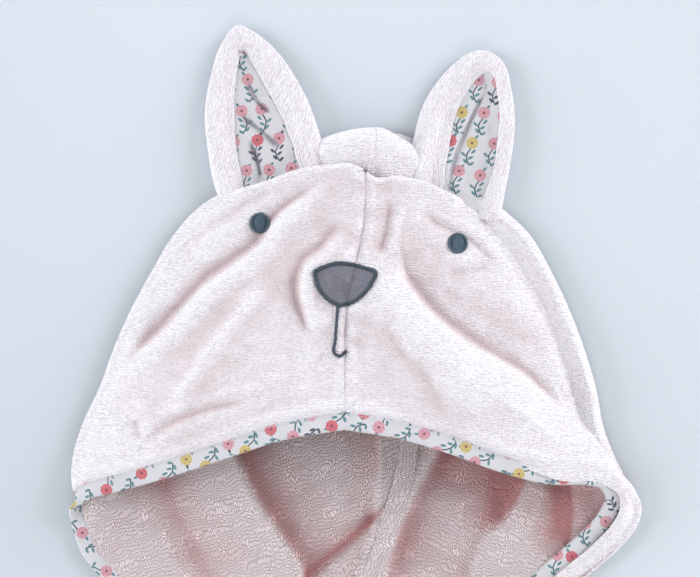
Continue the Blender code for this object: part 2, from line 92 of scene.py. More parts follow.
# Outlines of the face as (x, v)
SEAM_LINE = [(0.005, 0.284), (0.005, 0.265), (0.003, 0.245), (-0.001, 0.228), (-0.004, 0.213),
    (-0.007, 0.189), (-0.007, 0.174), (-0.007, 0.138)]
LEFT_OUTER = [(0.005, 0.284), (-0.001, 0.287), (-0.017, 0.287), (-0.037, 0.284), (-0.053, 0.278),
    (-0.071, 0.273), (-0.083, 0.2695), (-0.097, 0.26), (-0.11, 0.245), (-0.122, 0.225), (-0.136, 0.199),
    (-0.146, 0.176), (-0.154, 0.154), (-0.163, 0.135), (-0.1695, 0.114), (-0.1705, 0.103),
    (-0.1695, 0.093)]
RIGHT_OUTER = [(0.005, 0.284), (0.01, 0.28), (0.023, 0.2805), (0.038, 0.278), (0.053, 0.272),
    (0.069, 0.2635), (0.083, 0.249), (0.098, 0.228), (0.113, 0.204), (0.122, 0.186), (0.129, 0.165),
    (0.14, 0.132), (0.155, 0.107), (0.166, 0.094), (0.1705, 0.083), (0.167, 0.07), (0.157, 0.058),
    (0.139, 0.042), (0.121, 0.023), (0.105, 0.003)]
SIDE_FROM = {"left": 6, "right": 5}    # the outline's point where its side fold starts

# Middle line of the opening's binding: x, v, z, and on the left its lean away from +Y in degrees
LEFT_RIM = [(-0.007, 0.1365, 0.0455, 0), (-0.046, 0.1295, 0.0425, -16), (-0.079, 0.1185, 0.037, -18),
    (-0.118, 0.1055, 0.028, -17), (-0.146, 0.0975, 0.0205, -12), (-0.16, 0.0935, 0.016, -4),
    (-0.1665, 0.088, 0.01, 10), (-0.1668, 0.079, 0.0052, 45), (-0.1645, 0.069, 0.0035, 75),
    (-0.1605, 0.058, 0.0032, 66), (-0.153, 0.048, 0.003, 50), (-0.138, 0.0335, 0.003, 45),
    (-0.122, 0.018, 0.003, 45), (-0.1075, 0.004, 0.003, 42)]
RIGHT_RIM = [(-0.007, 0.1365, 0.0455, 0), (0.026, 0.1308, 0.044, 0), (0.056, 0.1217, 0.0395, 0),
    (0.086, 0.1105, 0.0325, 4), (0.116, 0.103, 0.0255, 12), (0.137, 0.102, 0.019, 22),
    (0.148, 0.0985, 0.015, 22), (0.153, 0.0895, 0.0115, 14), (0.149, 0.078, 0.009, 8),
    (0.137, 0.064, 0.0075, 4), (0.124, 0.0525, 0.0066, 0), (0.1106, 0.0406, 0.006, 0),
    (0.095, 0.023, 0.0055, 0), (0.088, 0.004, 0.005, 0)]
RIGHT_LIP = [(-0.007, 0.138), (0.026, 0.1325), (0.056, 0.1238), (0.086, 0.1132), (0.103, 0.1062),
    (0.117, 0.101), (0.137, 0.0985), (0.148, 0.0965), (0.1555, 0.0912), (0.1566, 0.0835), (0.1516, 0.073),
    (0.1416, 0.0622), (0.1168, 0.0405), (0.0999, 0.0215), (0.0922, 0.003)]
FOLD_STRENGTH = 1.35
LIP_ARCH = 8                  # points of the lip that belong to the arch
LIP_COVER = 0.0022            # height of the velour over the binding where it rolls over it

# Folds of the face: height, widths to the left and right of the line's travel, the line as (x, v),
# and for some a crest beside it: height, signed distance from the line, and width
FACE_FOLDS = [
    (-0.0052, 0.0022, 0.0085, [(-0.012, 0.283), (-0.033, 0.269), (-0.049, 0.257), (-0.059, 0.242),
     (-0.074, 0.23), (-0.09, 0.219), (-0.103, 0.205), (-0.115, 0.192), (-0.13, 0.178),
     (-0.144, 0.164)], (0.002, 0.008, 0.007)),
    (0.0032, 0.018, 0.006, [(-0.05, 0.224), (-0.058, 0.214), (-0.071, 0.196), (-0.083, 0.182),
     (-0.094, 0.167), (-0.107, 0.15), (-0.118, 0.137)]),
    (-0.0028, 0.005, 0.0022, [(-0.13, 0.118), (-0.122, 0.125), (-0.109, 0.134), (-0.092, 0.141),
     (-0.071, 0.146), (-0.055, 0.148)], (0.001, 0.007, 0.004)),
    (-0.0014, 0.002, 0.003, [(-0.131, 0.137), (-0.1295, 0.13), (-0.128, 0.123)]),
    (-0.003, 0.0024, 0.005, [(-0.008, 0.256), (-0.021, 0.239), (-0.032, 0.23), (-0.036, 0.213),
     (-0.033, 0.2), (-0.025, 0.182)], (0.0012, 0.006, 0.004)),
    (-0.002, 0.003, 0.004, [(0.02, 0.266), (0.017, 0.248), (0.012, 0.232)], (0.001, 0.006, 0.003)),
    (-0.0046, 0.01, 0.0018, [(0.024, 0.244), (0.027, 0.234), (0.029, 0.223), (0.038, 0.209),
     (0.053, 0.194), (0.068, 0.183), (0.083, 0.174), (0.1, 0.164), (0.113, 0.152),
     (0.128, 0.139)], (0.0042, -0.02, 0.017)),
    (-0.0012, 0.0022, 0.004, [(0.052, 0.222), (0.064, 0.224), (0.08, 0.227)]),
    (-0.0016, 0.006, 0.008, [(0.014, 0.204), (0.017, 0.192), (0.026, 0.177), (0.041, 0.162),
     (0.053, 0.134)]),
    (-0.002, 0.0035, 0.002, [(0.006, 0.143), (0.02, 0.1415), (0.044, 0.134), (0.068, 0.124),
     (0.088, 0.119)], (0.0008, 0.006, 0.003)),
    (0.0022, 0.01, 0.005, [(0.08, 0.15), (0.098, 0.14), (0.116, 0.126), (0.13, 0.112)]),
    (-0.0024, 0.005, 0.004, [(0.034, 0.262), (0.048, 0.252), (0.07, 0.24), (0.09, 0.222)]),
    (-0.002, 0.005, 0.005, [(-0.04, 0.275), (-0.062, 0.266), (-0.085, 0.252), (-0.105, 0.236),
     (-0.12, 0.214)]),
]

# Painted shade of broad low places of the face, where the velour is painted warmer and darker: a strength,
# widths to the left and right of the line's travel, and the line as (x, v)
FACE_SHADE_STROKES = [
    (0.6, 0.022, 0.028, [(-0.004, 0.24), (-0.036, 0.222), (-0.06, 0.2), (-0.085, 0.165), (-0.105, 0.13),
     (-0.125, 0.105)]),
    (0.42, 0.014, 0.022, [(0.014, 0.226), (0.018, 0.192), (0.034, 0.165), (0.055, 0.134), (0.07, 0.112)]),
    (0.58, 0.02, 0.008, [(0.026, 0.262), (0.04, 0.226), (0.066, 0.204), (0.1, 0.184), (0.125, 0.164)]),
    (0.46, 0.014, 0.014, [(-0.01, 0.296), (-0.016, 0.262), (-0.01, 0.225)]),
    (0.4, 0.012, 0.012, [(0.022, 0.29), (0.019, 0.262), (0.014, 0.226)]),
]

# Folds of the hood's inside, in the same form
INSIDE_FOLDS = [
    (0.0095, 0.03, 0.002, [(-0.03, 0.01), (-0.034, 0.044), (-0.044, 0.062), (-0.06, 0.086),
     (-0.076, 0.119), (-0.088, 0.14), (-0.104, 0.17)], (0.0008, 0.003, 0.003)),
    (-0.0034, 0.009, 0.009, [(-0.124, 0.124), (-0.1186, 0.103), (-0.1096, 0.078), (-0.0922, 0.043),
     (-0.084, 0.02)]),
    (0.0046, 0.012, 0.002, [(0.01, 0.16), (0.0146, 0.122), (0.0146, 0.102), (0.011, 0.072),
     (0.003, 0.041), (-0.003, 0.01)]),
    (0.005, 0.015, 0.002, [(0.012, 0.01), (0.0176, 0.048), (0.027, 0.075), (0.037, 0.096),
     (0.0464, 0.112), (0.062, 0.15)]),
    (-0.0042, 0.0024, 0.003, [(0.022, 0.088), (-0.004, 0.064), (-0.028, 0.044),
     (-0.04, 0.032)], (0.0012, 0.006, 0.004)),
    (0.0062, 0.018, 0.002, [(0.12, 0.14), (0.1004, 0.099), (0.09, 0.079), (0.0776, 0.062),
     (0.066, 0.03)]),
    (-0.0046, 0.0012, 0.008, [(0.126, 0.125), (0.1262, 0.095), (0.127, 0.075), (0.124, 0.06),
     (0.116, 0.04)]),
    (0.002, 0.006, 0.006, [(0.114, 0.108), (0.108, 0.084), (0.098, 0.062), (0.084, 0.036)]),
]

# Painted warm shade beside those folds, in the same form with a strength for the height
INSIDE_SHADE_STROKES = [
    (0.65, 0.0012, 0.01, [(-0.034, 0.036), (-0.044, 0.062), (-0.06, 0.086), (-0.076, 0.119),
     (-0.088, 0.15)]),
    (0.3, 0.012, 0.006, [(-0.124, 0.134), (-0.1186, 0.103), (-0.1096, 0.078), (-0.0922, 0.043),
     (-0.084, 0.02)]),
    (0.6, 0.001, 0.007, [(0.012, 0.15), (0.0146, 0.122), (0.0146, 0.096)]),
    (0.6, 0.001, 0.013, [(0.012, 0.02), (0.0176, 0.048), (0.027, 0.075), (0.037, 0.096), (0.0464, 0.112),
     (0.062, 0.15)]),
    (0.7, 0.002, 0.0026, [(0.022, 0.088), (-0.004, 0.064), (-0.028, 0.044), (-0.04, 0.032)]),
    (0.85, 0.001, 0.011, [(0.124, 0.15), (0.1004, 0.099), (0.09, 0.079), (0.0776, 0.058)]),
    (0.95, 0.001, 0.008, [(0.125, 0.13), (0.1262, 0.095), (0.127, 0.075), (0.124, 0.05)]),
]
BACK_SEAM = [(0.012, 0.309), (0.018, 0.27), (0.027, 0.21), (0.033, 0.15), (0.03, 0.11), (0.019, 0.07),
    (0.009, 0.041), (0.002, 0.016), (0.0, -0.0003)]
LEFT_BACK = [(0.012, 0.309), (-0.003, 0.307), (-0.024, 0.3), (-0.052, 0.285), (-0.08, 0.267),
    (-0.107, 0.244), (-0.133, 0.199), (-0.151, 0.154), (-0.166, 0.114), (-0.1665, 0.09), (-0.1625, 0.072),
    (-0.156, 0.0545), (-0.145, 0.042), (-0.134, 0.0315), (-0.118, 0.016), (-0.104, -0.0003)]
RIGHT_BACK = [(0.012, 0.309), (0.024, 0.307), (0.043, 0.298), (0.063, 0.282), (0.089, 0.26),
    (0.101, 0.249), (0.119, 0.219), (0.134, 0.184), (0.143, 0.155), (0.148, 0.13), (0.156, 0.11),
    (0.164, 0.0945), (0.166, 0.083), (0.163, 0.072), (0.154, 0.06), (0.137, 0.044), (0.12, 0.026),
    (0.104, -0.0003)]
VELOUR_EDGE_FROM = 0.104      # above this the back's velour shows beside the face
BACK_ROLL = 0.0052            # radius of the back's rolled edge
CROWN_ROLL = 0.0085
CROWN_LOW = 0.0034
BACK_VISIBLE = 0.16           # the inside shows below this distance from the neck
CROWN_INNER = [(-0.06, 0.262), (-0.03, 0.272), (0.0, 0.276), (0.03, 0.272), (0.06, 0.256)]
CROWN_OUTER = [(-0.078, 0.27), (-0.052, 0.287), (-0.028, 0.3), (-0.01, 0.307), (0.004, 0.3095),
    (0.016, 0.3095), (0.026, 0.304), (0.04, 0.296), (0.062, 0.28), (0.08, 0.263)]

# Ears: outlines from the outer root over the tip to the inner root, linings and creases
EARS = {
    "left": {
        "outline": [(-0.08, 0.262), (-0.085, 0.275), (-0.089, 0.297), (-0.0908, 0.318), (-0.087, 0.342),
            (-0.081, 0.36), (-0.071, 0.3712), (-0.061, 0.367), (-0.048, 0.356), (-0.036, 0.339),
            (-0.028, 0.323), (-0.022, 0.306), (-0.017, 0.289), (-0.016, 0.276)],
        "lining": [(-0.066, 0.266), (-0.068, 0.276), (-0.072, 0.295), (-0.0735, 0.314), (-0.073, 0.333),
            (-0.0705, 0.351), (-0.068, 0.3565), (-0.062, 0.348), (-0.053, 0.333), (-0.045, 0.317),
            (-0.039, 0.303), (-0.034, 0.286), (-0.032, 0.276)],
        "spine": [(-0.049, 0.268), (-0.0555, 0.3), (-0.062, 0.33), (-0.0695, 0.352)],
        "creases": [
            (-0.0024, 0.003, 0.001, [(-0.066, 0.338), (-0.062, 0.329), (-0.056, 0.322),
             (-0.05, 0.318)], (0.001, 0.003, 0.002)),
            (-0.002, 0.0024, 0.0012, [(-0.065, 0.304), (-0.06, 0.292), (-0.057, 0.279),
             (-0.055, 0.27)], (0.0008, 0.003, 0.002)),
            (-0.0018, 0.0014, 0.0024, [(-0.07, 0.318), (-0.062, 0.312), (-0.052, 0.304),
             (-0.044, 0.296)], (0.0006, 0.003, 0.002)),
        ],
        "turn": -0.62, "high": 0.015,
    },
    "right": {
        "outline": [(0.085, 0.252), (0.088, 0.268), (0.092, 0.289), (0.0945, 0.311), (0.0925, 0.333),
            (0.087, 0.35), (0.077, 0.3562), (0.066, 0.354), (0.057, 0.347), (0.048, 0.337), (0.04, 0.324),
            (0.034, 0.304), (0.03, 0.283), (0.029, 0.27)],
        "lining": [(0.07, 0.252), (0.075, 0.264), (0.082, 0.287), (0.0855, 0.312), (0.085, 0.328),
            (0.079, 0.3435), (0.072, 0.34), (0.0655, 0.331), (0.0585, 0.317), (0.055, 0.3), (0.052, 0.28),
            (0.05, 0.266)],
        "spine": [(0.06, 0.26), (0.066, 0.29), (0.0715, 0.315), (0.077, 0.335)],
        "creases": [
            (-0.003, 0.0006, 0.004, [(0.079, 0.334), (0.071, 0.32), (0.065, 0.306), (0.058, 0.288),
             (0.053, 0.268)], (0.0014, -0.003, 0.003)),
        ],
        "turn": -0.8, "high": 0.0145,
    },
}
EAR_ROOT_HEIGHT = 0.0085      # at its outer side; "high" is the height at its inner side
EAR_ROLL = 0.0042
EAR_BACK_THICKNESS = 0.0016
EAR_TIP_HEIGHT = 0.0062

# Embroidery on the face
EYES = {"left_eye": (-0.0576, 0.2526), "right_eye": (0.0600, 0.2406)}
EYE_RADIUS = 0.0060
NOSE = [(-0.025, 0.2236), (-0.019, 0.2264), (-0.0118, 0.2284), (-0.004, 0.228), (0.0044, 0.2258),
    (0.0113, 0.223), (0.0084, 0.2162), (0.0026, 0.2092), (-0.004, 0.2052), (-0.01, 0.204),
    (-0.0164, 0.2068), (-0.0218, 0.213)]
MOUTH = [(-0.0112, 0.203), (-0.0118, 0.194), (-0.0126, 0.184), (-0.0128, 0.1755), (-0.01, 0.1742),
    (-0.0062, 0.177)]
THREAD = 0.00022

# Colours, linear
VELOUR = (0.890, 0.862, 0.897)
VELOUR_SPECKLE = (0.660, 0.575, 0.600)
# painted shade for the velour's hollows
VELOUR_SHADE_PAINT = (0.640, 0.520, 0.525)
TERRY = (0.960, 0.845, 0.850)
# painted shade between the terry's loops
TERRY_GAP_SHADE = (0.530, 0.345, 0.350)
# painted shade for the terry's hollows
TERRY_SHADE_PAINT = (0.580, 0.225, 0.225)
PRINT_WHITE = (0.910, 0.900, 0.930)
TAPE = (0.740, 0.640, 0.650)
SLATE = (0.045, 0.068, 0.092)
SLATE_EYE = (0.070, 0.115, 0.160)
GREY_TWILL = (0.165, 0.165, 0.205)
WHITE_THREAD = (0.78, 0.76, 0.79)
FLOOR = (0.660, 0.718, 0.765)

# Flower print, in mm
PRINT_CELL = (13.0, 18.5)
PETALS = 10
HEAD_RADIUS = 4.0


# ---------------------------------------------------------------- numbers and curves

def smooth(value):
    """Smooth step of values between 0 and 1."""
    value = np.clip(value, 0.0, 1.0)
    return value * value * (3 - 2 * value)


def along(points, shares, measured=2):
    """Points of a smooth curve at shares of its length; the first columns measure the length."""
    knots = np.array(points, float)
    gaps = np.linalg.norm(np.diff(knots[:, :measured], axis=0), axis=1)
    marks = np.concatenate([[0.0], np.cumsum(gaps)])
    slopes = np.gradient(knots, marks, axis=0)
    run = np.clip(np.asarray(shares, float), 0, 1) * marks[-1]
    i = np.clip(np.searchsorted(marks, run, side="right") - 1, 0, len(knots) - 2)
    span = gaps[i]
    f = ((run - marks[i]) / span)[:, None]
    span = span[:, None]
    return (knots[i] * (2 * f**3 - 3 * f**2 + 1) + slopes[i] * span * (f**3 - 2 * f**2 + f)
            + knots[i + 1] * (3 * f**2 - 2 * f**3) + slopes[i + 1] * span * (f**3 - f**2))


def even(points, count, measured=2):
    """Evenly spaced points of a smooth curve."""
    return along(points, np.linspace(0, 1, count), measured)


def unit(rows):
    """Vectors in rows, each made one long."""
    return rows / np.linalg.norm(rows, axis=1, keepdims=True)


def relax(rows, times):
    """Even out neighbouring rows in place; the first and the last stay."""
    for _ in range(times):
        rows[1:-1] = (rows[:-2] + 2 * rows[1:-1] + rows[2:]) / 4


def put(x, v, z):
    """World points of places on the hood."""
    return np.stack([x, v + NECK_Y, z], -1)


def distance(line, x, v):
    """Signed distance to a line, positive to the left of its travel, and the share of its length."""
    best = np.full(x.shape, 9.0)
    share = np.zeros(x.shape)
    side = np.ones(x.shape)
    last = len(line) - 1
    for i in range(last):
        dx, dv = line[i + 1] - line[i]
        px, pv = x - line[i][0], v - line[i][1]
        f = np.clip((px * dx + pv * dv) / (dx * dx + dv * dv), 0, 1)
        away = np.hypot(px - f * dx, pv - f * dv)
        near = away < best
        best = np.where(near, away, best)
        share = np.where(near, (i + f) / last, share)
        side = np.where(near, np.sign(dx * pv - dv * px), side)
    return best * side, share


def folds(x, v, strokes):
    """Sum of strokes at each place: the height that folds add, or the strength of a tint."""
    total = np.zeros(x.shape)
    blunt = 0.0009
    for height, left, right, points, *crests in strokes:
        away, share = distance(even(points, 26), x, v)
        fade = smooth(share / 0.22) * smooth((1 - share) / 0.22)
        width = np.where(away > 0, left, right)
        total += height * fade * np.exp(-(np.hypot(away, blunt) - blunt) / width)
        for rise, place, spread in crests:
            total += rise * fade * np.exp(-((away - place) / spread)**2)
    return total


def noise(x, y, size, seed):
    """Smooth random heights from -1 to 1 that change over a given size."""
    table = np.random.default_rng(seed).uniform(-1, 1, (256, 256))
    gx, gy = x / size, y / size
    ix, iy = np.floor(gx).astype(int), np.floor(gy).astype(int)
    fx, fy = smooth(gx - ix), smooth(gy - iy)
    a, b = table[ix & 255, iy & 255], table[(ix + 1) & 255, iy & 255]
    c, d = table[ix & 255, (iy + 1) & 255], table[(ix + 1) & 255, (iy + 1) & 255]
    return (a * (1 - fx) + b * fx) * (1 - fy) + (c * (1 - fx) + d * fx) * fy


# ---------------------------------------------------------------- heights of the cloth

SIDES = {"left": even(LEFT_OUTER[SIDE_FROM["left"]:], 50),
         "right": even(RIGHT_OUTER[SIDE_FROM["right"]:], 60)}
SEAM = even(SEAM_LINE, 30)
BROW = np.concatenate([even([row[:2] for row in LEFT_RIM[:6]], 20)[::-1],
                       even([row[:2] for row in RIGHT_RIM[:8]], 20)])
LEFT_LIP = [(x, v + 0.0015) for x, v, z, lean in LEFT_RIM[:6]] + [(-0.1665, 0.0925)]
LIP_HEIGHTS = {"left": even([row[:3] for row in LEFT_RIM[:7]], 40),
               "right": even([row[:3] for row in RIGHT_RIM], 60)}


def fold_height(v):
    """Height of the side folds, lower towards the neck."""
    return np.interp(v, [0.0, 0.04, 0.09, 0.155], [0.0040, 0.0052, 0.0085, 0.0105])


def face_height(x, v):
    """Height of the face's outside."""
    left, _ = distance(SIDES["left"], x, v)
    right, _ = distance(SIDES["right"], x, v)
    away = np.maximum(np.minimum(np.abs(left), np.abs(right)) - SIDE_ROLL, 0)
    rise = CROWN_RISE + BROW_RISE * smooth((0.29 - v) / 0.16)
    z = fold_height(v) + SHOULDER * (1 - np.exp(-away / SHOULDER_REACH)) + rise * smooth(away / 0.080)
    calm = smooth(away / 0.012)
    z = z + folds(x, v, FACE_FOLDS) * calm * FOLD_STRENGTH
    z = z + 0.0009 * noise(x, v, 0.021, 3) * calm + 0.0004 * noise(x, v, 0.008, 4) * calm
    seam, share = distance(SEAM, x, v)
    seam = np.abs(seam)
    z = z - 0.0009 * np.exp(-seam / 0.0014) + 0.0008 * np.exp(-((seam - 0.004) / 0.0025)**2)
    z = z + 0.0004 * np.sin(share * 60) * np.exp(-((seam - 0.004) / 0.004)**2)
    halo = np.hypot((x + 0.008) / 0.024, (v - 0.208) / 0.030)
    z = z + 0.0014 * np.exp(-halo**4) + 0.0011 * noise(x, v, 0.0075, 7) * np.exp(-(halo / 1.35)**4)
    for side, lips in LIP_HEIGHTS.items():
        near, share = distance(lips[:, :2], x, v)
        near = np.abs(near)
        z_lip = np.interp(share, np.linspace(0, 1, len(lips)), lips[:, 2])
        cover = 0.0
        if side == "right":
            cover = np.interp(v, [0.080, 0.095], [0.0008, LIP_COVER]) * smooth((x - 0.085) / 0.03)
        mine = smooth((x + 0.012) / 0.01) if side == "right" else smooth((-0.002 - x) / 0.01)
        reach = np.interp(v, [0.085, 0.120], [0.010, 0.034])
        weight = smooth(1 - near / reach) * mine
        puff = 0.0016 * np.exp(-((near - 0.0085) / 0.004)**2) * mine
        tuck = 0.0012 * np.exp(-(near / 0.0050)**2) * mine * (1 - smooth((x - 0.09) / 0.02))
        z = z * (1 - weight) + (z_lip + cover + 0.0006) * weight + puff - tuck
    return z


def back_height(x, v):
    """Height of the inside of the hood's back, which lies on the table."""
    z = 0.0036 + np.maximum(folds(x, v, INSIDE_FOLDS), -0.0002 + 0 * x) + 0.0012 * (1 + noise(x, v, 0.030, 8))
    z = z + 0.0005 * (1 + noise(x, v, 0.011, 9))
    return z


def terry_loops(x, v):
    """Small heights of looped pile."""
    wx = x + 0.0010 * noise(x, v, 0.0050, 21)
    wv = v + 0.0010 * noise(x, v, 0.0050, 22)
    return 0.00020 * noise(wx, wv * 0.5, 0.00130, 23)


# ---------------------------------------------------------------- meshes

def build(name, points, quads, uvs, materials, slots):
    """A mesh object from arrays of points, quads, UVs for each point, and a slot for each quad."""
    mesh = bpy.data.meshes.new(name)
    mesh.vertices.add(len(points))
    mesh.vertices.foreach_set("co", np.ascontiguousarray(points, dtype=np.float32).ravel())
    mesh.loops.add(quads.size)
    mesh.loops.foreach_set("vertex_index", quads.ravel().astype(np.int32))
    mesh.polygons.add(len(quads))
    mesh.polygons.foreach_set("loop_start", (np.arange(len(quads)) * 4).astype(np.int32))
    for cloth in materials:
        mesh.materials.append(cloth)
    mesh.polygons.foreach_set("material_index", slots.astype(np.int32))
    layer = mesh.uv_layers.new(name="UVMap")
    layer.data.foreach_set("uv", uvs[quads.ravel()].astype(np.float32).ravel())
    mesh.update(calc_edges=True)
    mesh.validate()
    mesh.shade_smooth()
    made = bpy.data.objects.new(name, mesh)
    bpy.context.scene.collection.objects.link(made)
    return made


def grid_normals(grid):
    """Upward normals of a grid of points."""
    across = np.gradient(grid, axis=1)
    down = np.gradient(grid, axis=0)
    normal = np.cross(across, down)
    length = np.linalg.norm(normal, axis=2, keepdims=True)
    normal = normal / np.maximum(length, 1e-12)
    if normal[..., 2].sum() < 0:
        normal = -normal
    return normal


def sheet_parts(grid, thickness, velour_columns=0, open_inner=False):
    """Points, quads, UVs and slots of one sheet of cloth: its upper layer, lower layer and edges.
    The last velour_columns of the upper layer take the lower layer's slot."""
    rows, columns, _ = grid.shape
    normal = grid_normals(grid)
    if open_inner:
        shared = normal[:, 0] + normal[::-1, 0]
        normal[:, 0] = shared / np.linalg.norm(shared, axis=1, keepdims=True)
    below = grid - normal * thickness
    below[..., 2] = np.maximum(below[..., 2], FLOOR_GAP)
    points = np.concatenate([grid.reshape(-1, 3), below.reshape(-1, 3)])
    index = np.arange(rows * columns).reshape(rows, columns)
    a, b, c, d = index[:-1, :-1], index[:-1, 1:], index[1:, 1:], index[1:, :-1]
    upper = np.stack([a, b, c, d], -1)
    middle = grid[rows // 2, columns // 2]
    turn = np.cross(grid[rows // 2, columns // 2 + 1] - middle, grid[rows // 2 + 1, columns // 2] - middle)
    if turn[2] < 0:
        upper = upper[..., ::-1]
    lower = upper[..., ::-1] + rows * columns
    slots_up = np.zeros(upper.shape[:2], int)
    if velour_columns:
        high = grid[:-1, -1, 1] - NECK_Y > VELOUR_EDGE_FROM
        slots_up[high, -velour_columns:] = 1
    quads = [upper.reshape(-1, 4), lower.reshape(-1, 4)]
    slots = [slots_up.ravel(), np.ones(slots_up.size, int)]
    edges = [(index[0, :], False), (index[-1, :], True), (index[:, -1], False)]
    if not open_inner:
        edges.append((index[:, 0], True))
    for line, swap in edges:
        first, second = (line[1:], line[:-1]) if swap != (turn[2] < 0) else (line[:-1], line[1:])
        wall = np.stack([second, first, first + rows * columns, second + rows * columns], -1)
        quads.append(wall)
        slots.append(np.ones(len(wall), int))
    return points, np.concatenate(quads), np.concatenate(slots)


def blurred(z, reach):
    """Heights of a grid averaged over a number of its rows and columns."""
    for axis in (0, 1) * 2:
        padded = np.concatenate([np.repeat(z.take([0], axis), reach, axis), z,
                                 np.repeat(z.take([-1], axis), reach, axis)], axis)
        sums = np.cumsum(padded, axis)
        sums = np.concatenate([np.zeros_like(sums.take([0], axis)), sums], axis)
        size = z.shape[axis]
        z = (sums.take(range(2 * reach + 1, 2 * reach + 1 + size), axis) - sums.take(range(size), axis)) / (
            2 * reach + 1)
    return z


def cloth_object(name, grid, thickness, materials, turn=0.0, velour_columns=0, open_inner=False, shade=None,
                 hollow_reach=7):
    """A piece from one sheet; turn is the angle of its weave to the x axis. shade gives the painted
    shade of hollows, a darker and warmer colour, from the places and from the depths below the cloth around
    them."""
    points, quads, slots = sheet_parts(grid, thickness, velour_columns, open_inner)
    hollow = np.zeros(grid.shape[:2])
    if shade:
        depth = blurred(grid[..., 2], hollow_reach) - grid[..., 2]
        hollow = np.clip(shade(grid[..., 0], grid[..., 1] - NECK_Y, depth), 0, 1)
    drop = points[:, 2:3] * UV_DROP
    c, s = math.cos(turn), math.sin(turn)
    uvs = np.column_stack([points[:, 0] * c + points[:, 1] * s, points[:, 1] * c - points[:, 0] * s]) + drop
    made = build(name, points, quads, uvs, materials, slots)
    layer = made.data.attributes.new("hollow", "FLOAT", "POINT")
    both_layers = np.concatenate([hollow.ravel(), np.zeros(hollow.size)])
    layer.data.foreach_set("value", both_layers.astype(np.float32))
    if open_inner:
        rework(made, lambda shape: bmesh.ops.remove_doubles(shape, verts=shape.verts, dist=WELD_REACH))
    return made


def rework(made, change):
    """Change a mesh by a function of its bmesh."""
    shape = bmesh.new()
    shape.from_mesh(made.data)
    change(shape)
    shape.to_mesh(made.data)
    shape.free()


def strip(inner, outer, columns, radius, low, height, turn=2.7, roll=10, drop=1.0):
    """A sheet between two lines in plan, rolled over at its outer line, down to a height or by a drop."""
    tangent = np.gradient(outer, axis=0)
    normal = np.column_stack([tangent[:, 1], -tangent[:, 0]])
    normal = unit(normal)
    normal *= np.sign(np.sum(normal * (outer - inner)))
    relax(normal, 6)
    reach = np.linalg.norm(outer - inner, axis=1)
    radius = np.minimum(radius, 0.30 * reach)[:, None]
    start = outer - normal * radius
    share = np.linspace(0, 1, columns)[None, :, None]
    plan = inner[:, None] * (1 - share) + start[:, None] * share
    z = height(plan[..., 0], plan[..., 1])
    theta = np.linspace(ROLL_START, turn, roll + 1)[1:]
    ahead = (np.sin(theta) - math.sin(ROLL_START)) / (1 - math.sin(ROLL_START))
    rolled = start[:, None] + (normal * radius)[:, None] * ahead[None, :, None]
    down = (math.cos(ROLL_START) - np.cos(theta)) / (math.cos(ROLL_START) - math.cos(turn))
    top = z[:, -1:]
    bottom = np.maximum(np.minimum(low, top), top - np.reshape(drop, (-1, 1)))
    rolled_z = top + (bottom - top) * down[None, :]
    plan = np.concatenate([plan, rolled], axis=1)
    z = np.concatenate([z, rolled_z], axis=1)
    return put(plan[..., 0], plan[..., 1], z)


def tube(frames, section, closed=False):
    """Points, quads and UVs of a section of (inward, normal) pairs carried along frames."""
    centre, inward, normal = frames
    count, sides = len(centre), len(section)
    points = (centre[:, None] + inward[:, None] * section[None, :, :1]
              + normal[:, None] * section[None, :, 1:]).reshape(-1, 3)
    index = np.arange(count * sides).reshape(count, sides)
    following = np.roll(index, -1, axis=1)
    if closed:
        ahead, ahead_following = np.roll(index, -1, axis=0), np.roll(following, -1, axis=0)
        quads = np.stack([index, following, ahead_following, ahead], -1).reshape(-1, 4)
    else:
        quads = np.stack([index[:-1], following[:-1], following[1:], index[1:]], -1).reshape(-1, 4)
        caps = []
        half = sides // 2
        for ring, swap in ((index[0], True), (index[-1], False)):
            for k in range(half - 1):
                cap = [ring[k], ring[k + 1], ring[sides - 2 - k], ring[sides - 1 - k]]
                caps.append(cap[::-1] if swap else cap)
        quads = np.concatenate([quads, np.array(caps)])
    run = np.concatenate([[0], np.cumsum(np.linalg.norm(np.diff(centre, axis=0), axis=1))])
    girth = np.concatenate([[0], np.cumsum(np.linalg.norm(np.diff(section, axis=0), axis=1))])
    uvs = np.stack(np.broadcast_arrays(run[:, None], girth[None, :]), -1).reshape(-1, 2)
    return points, quads, uvs


def tube_object(name, pieces, cloth):
    """One object made of several tubes."""
    all_points, all_quads, all_uvs = [], [], []
    start = 0
    for points, quads, uvs in pieces:
        all_points.append(points)
        all_quads.append(quads + start)
        all_uvs.append(uvs)
        start += len(points)
    quads = np.concatenate(all_quads)
    made = build(name, np.concatenate(all_points), quads, np.concatenate(all_uvs), [cloth],
                 np.zeros(len(quads)))
    rework(made, lambda shape: bmesh.ops.recalc_face_normals(shape, faces=shape.faces))
    return made


def round_section(half_width, half_thickness, sides, power=1.0):
    """An oval section; a power below 1 makes it squarer."""
    turns = np.arange(sides) / sides * math.tau + math.pi / sides
    c, s = np.cos(turns), np.sin(turns)
    return np.column_stack([half_width * np.sign(c) * np.abs(c)**power,
                            half_thickness * np.sign(s) * np.abs(s)**power])


def thread(points, radius, sides=6):
    """Tube frames of a thread through points, thinner at its ends."""
    travel = unit(np.gradient(points, axis=0))
    side = unit(np.cross(np.array([0.0, 0.0, 1.0]), travel))
    up = np.cross(travel, side)
    thin = np.ones(len(points))
    thin[[0, -1]] = 0.35
    return tube((points, side * thin[:, None], up * thin[:, None]), round_section(radius, radius, sides))


def on_face(spots, lift):
    """Places of the face as points above its surface."""
    spots = np.asarray(spots, float)
    z = face_height(spots[:, 0], spots[:, 1])
    return put(spots[:, 0], spots[:, 1], z + lift)


# ---------------------------------------------------------------- materials

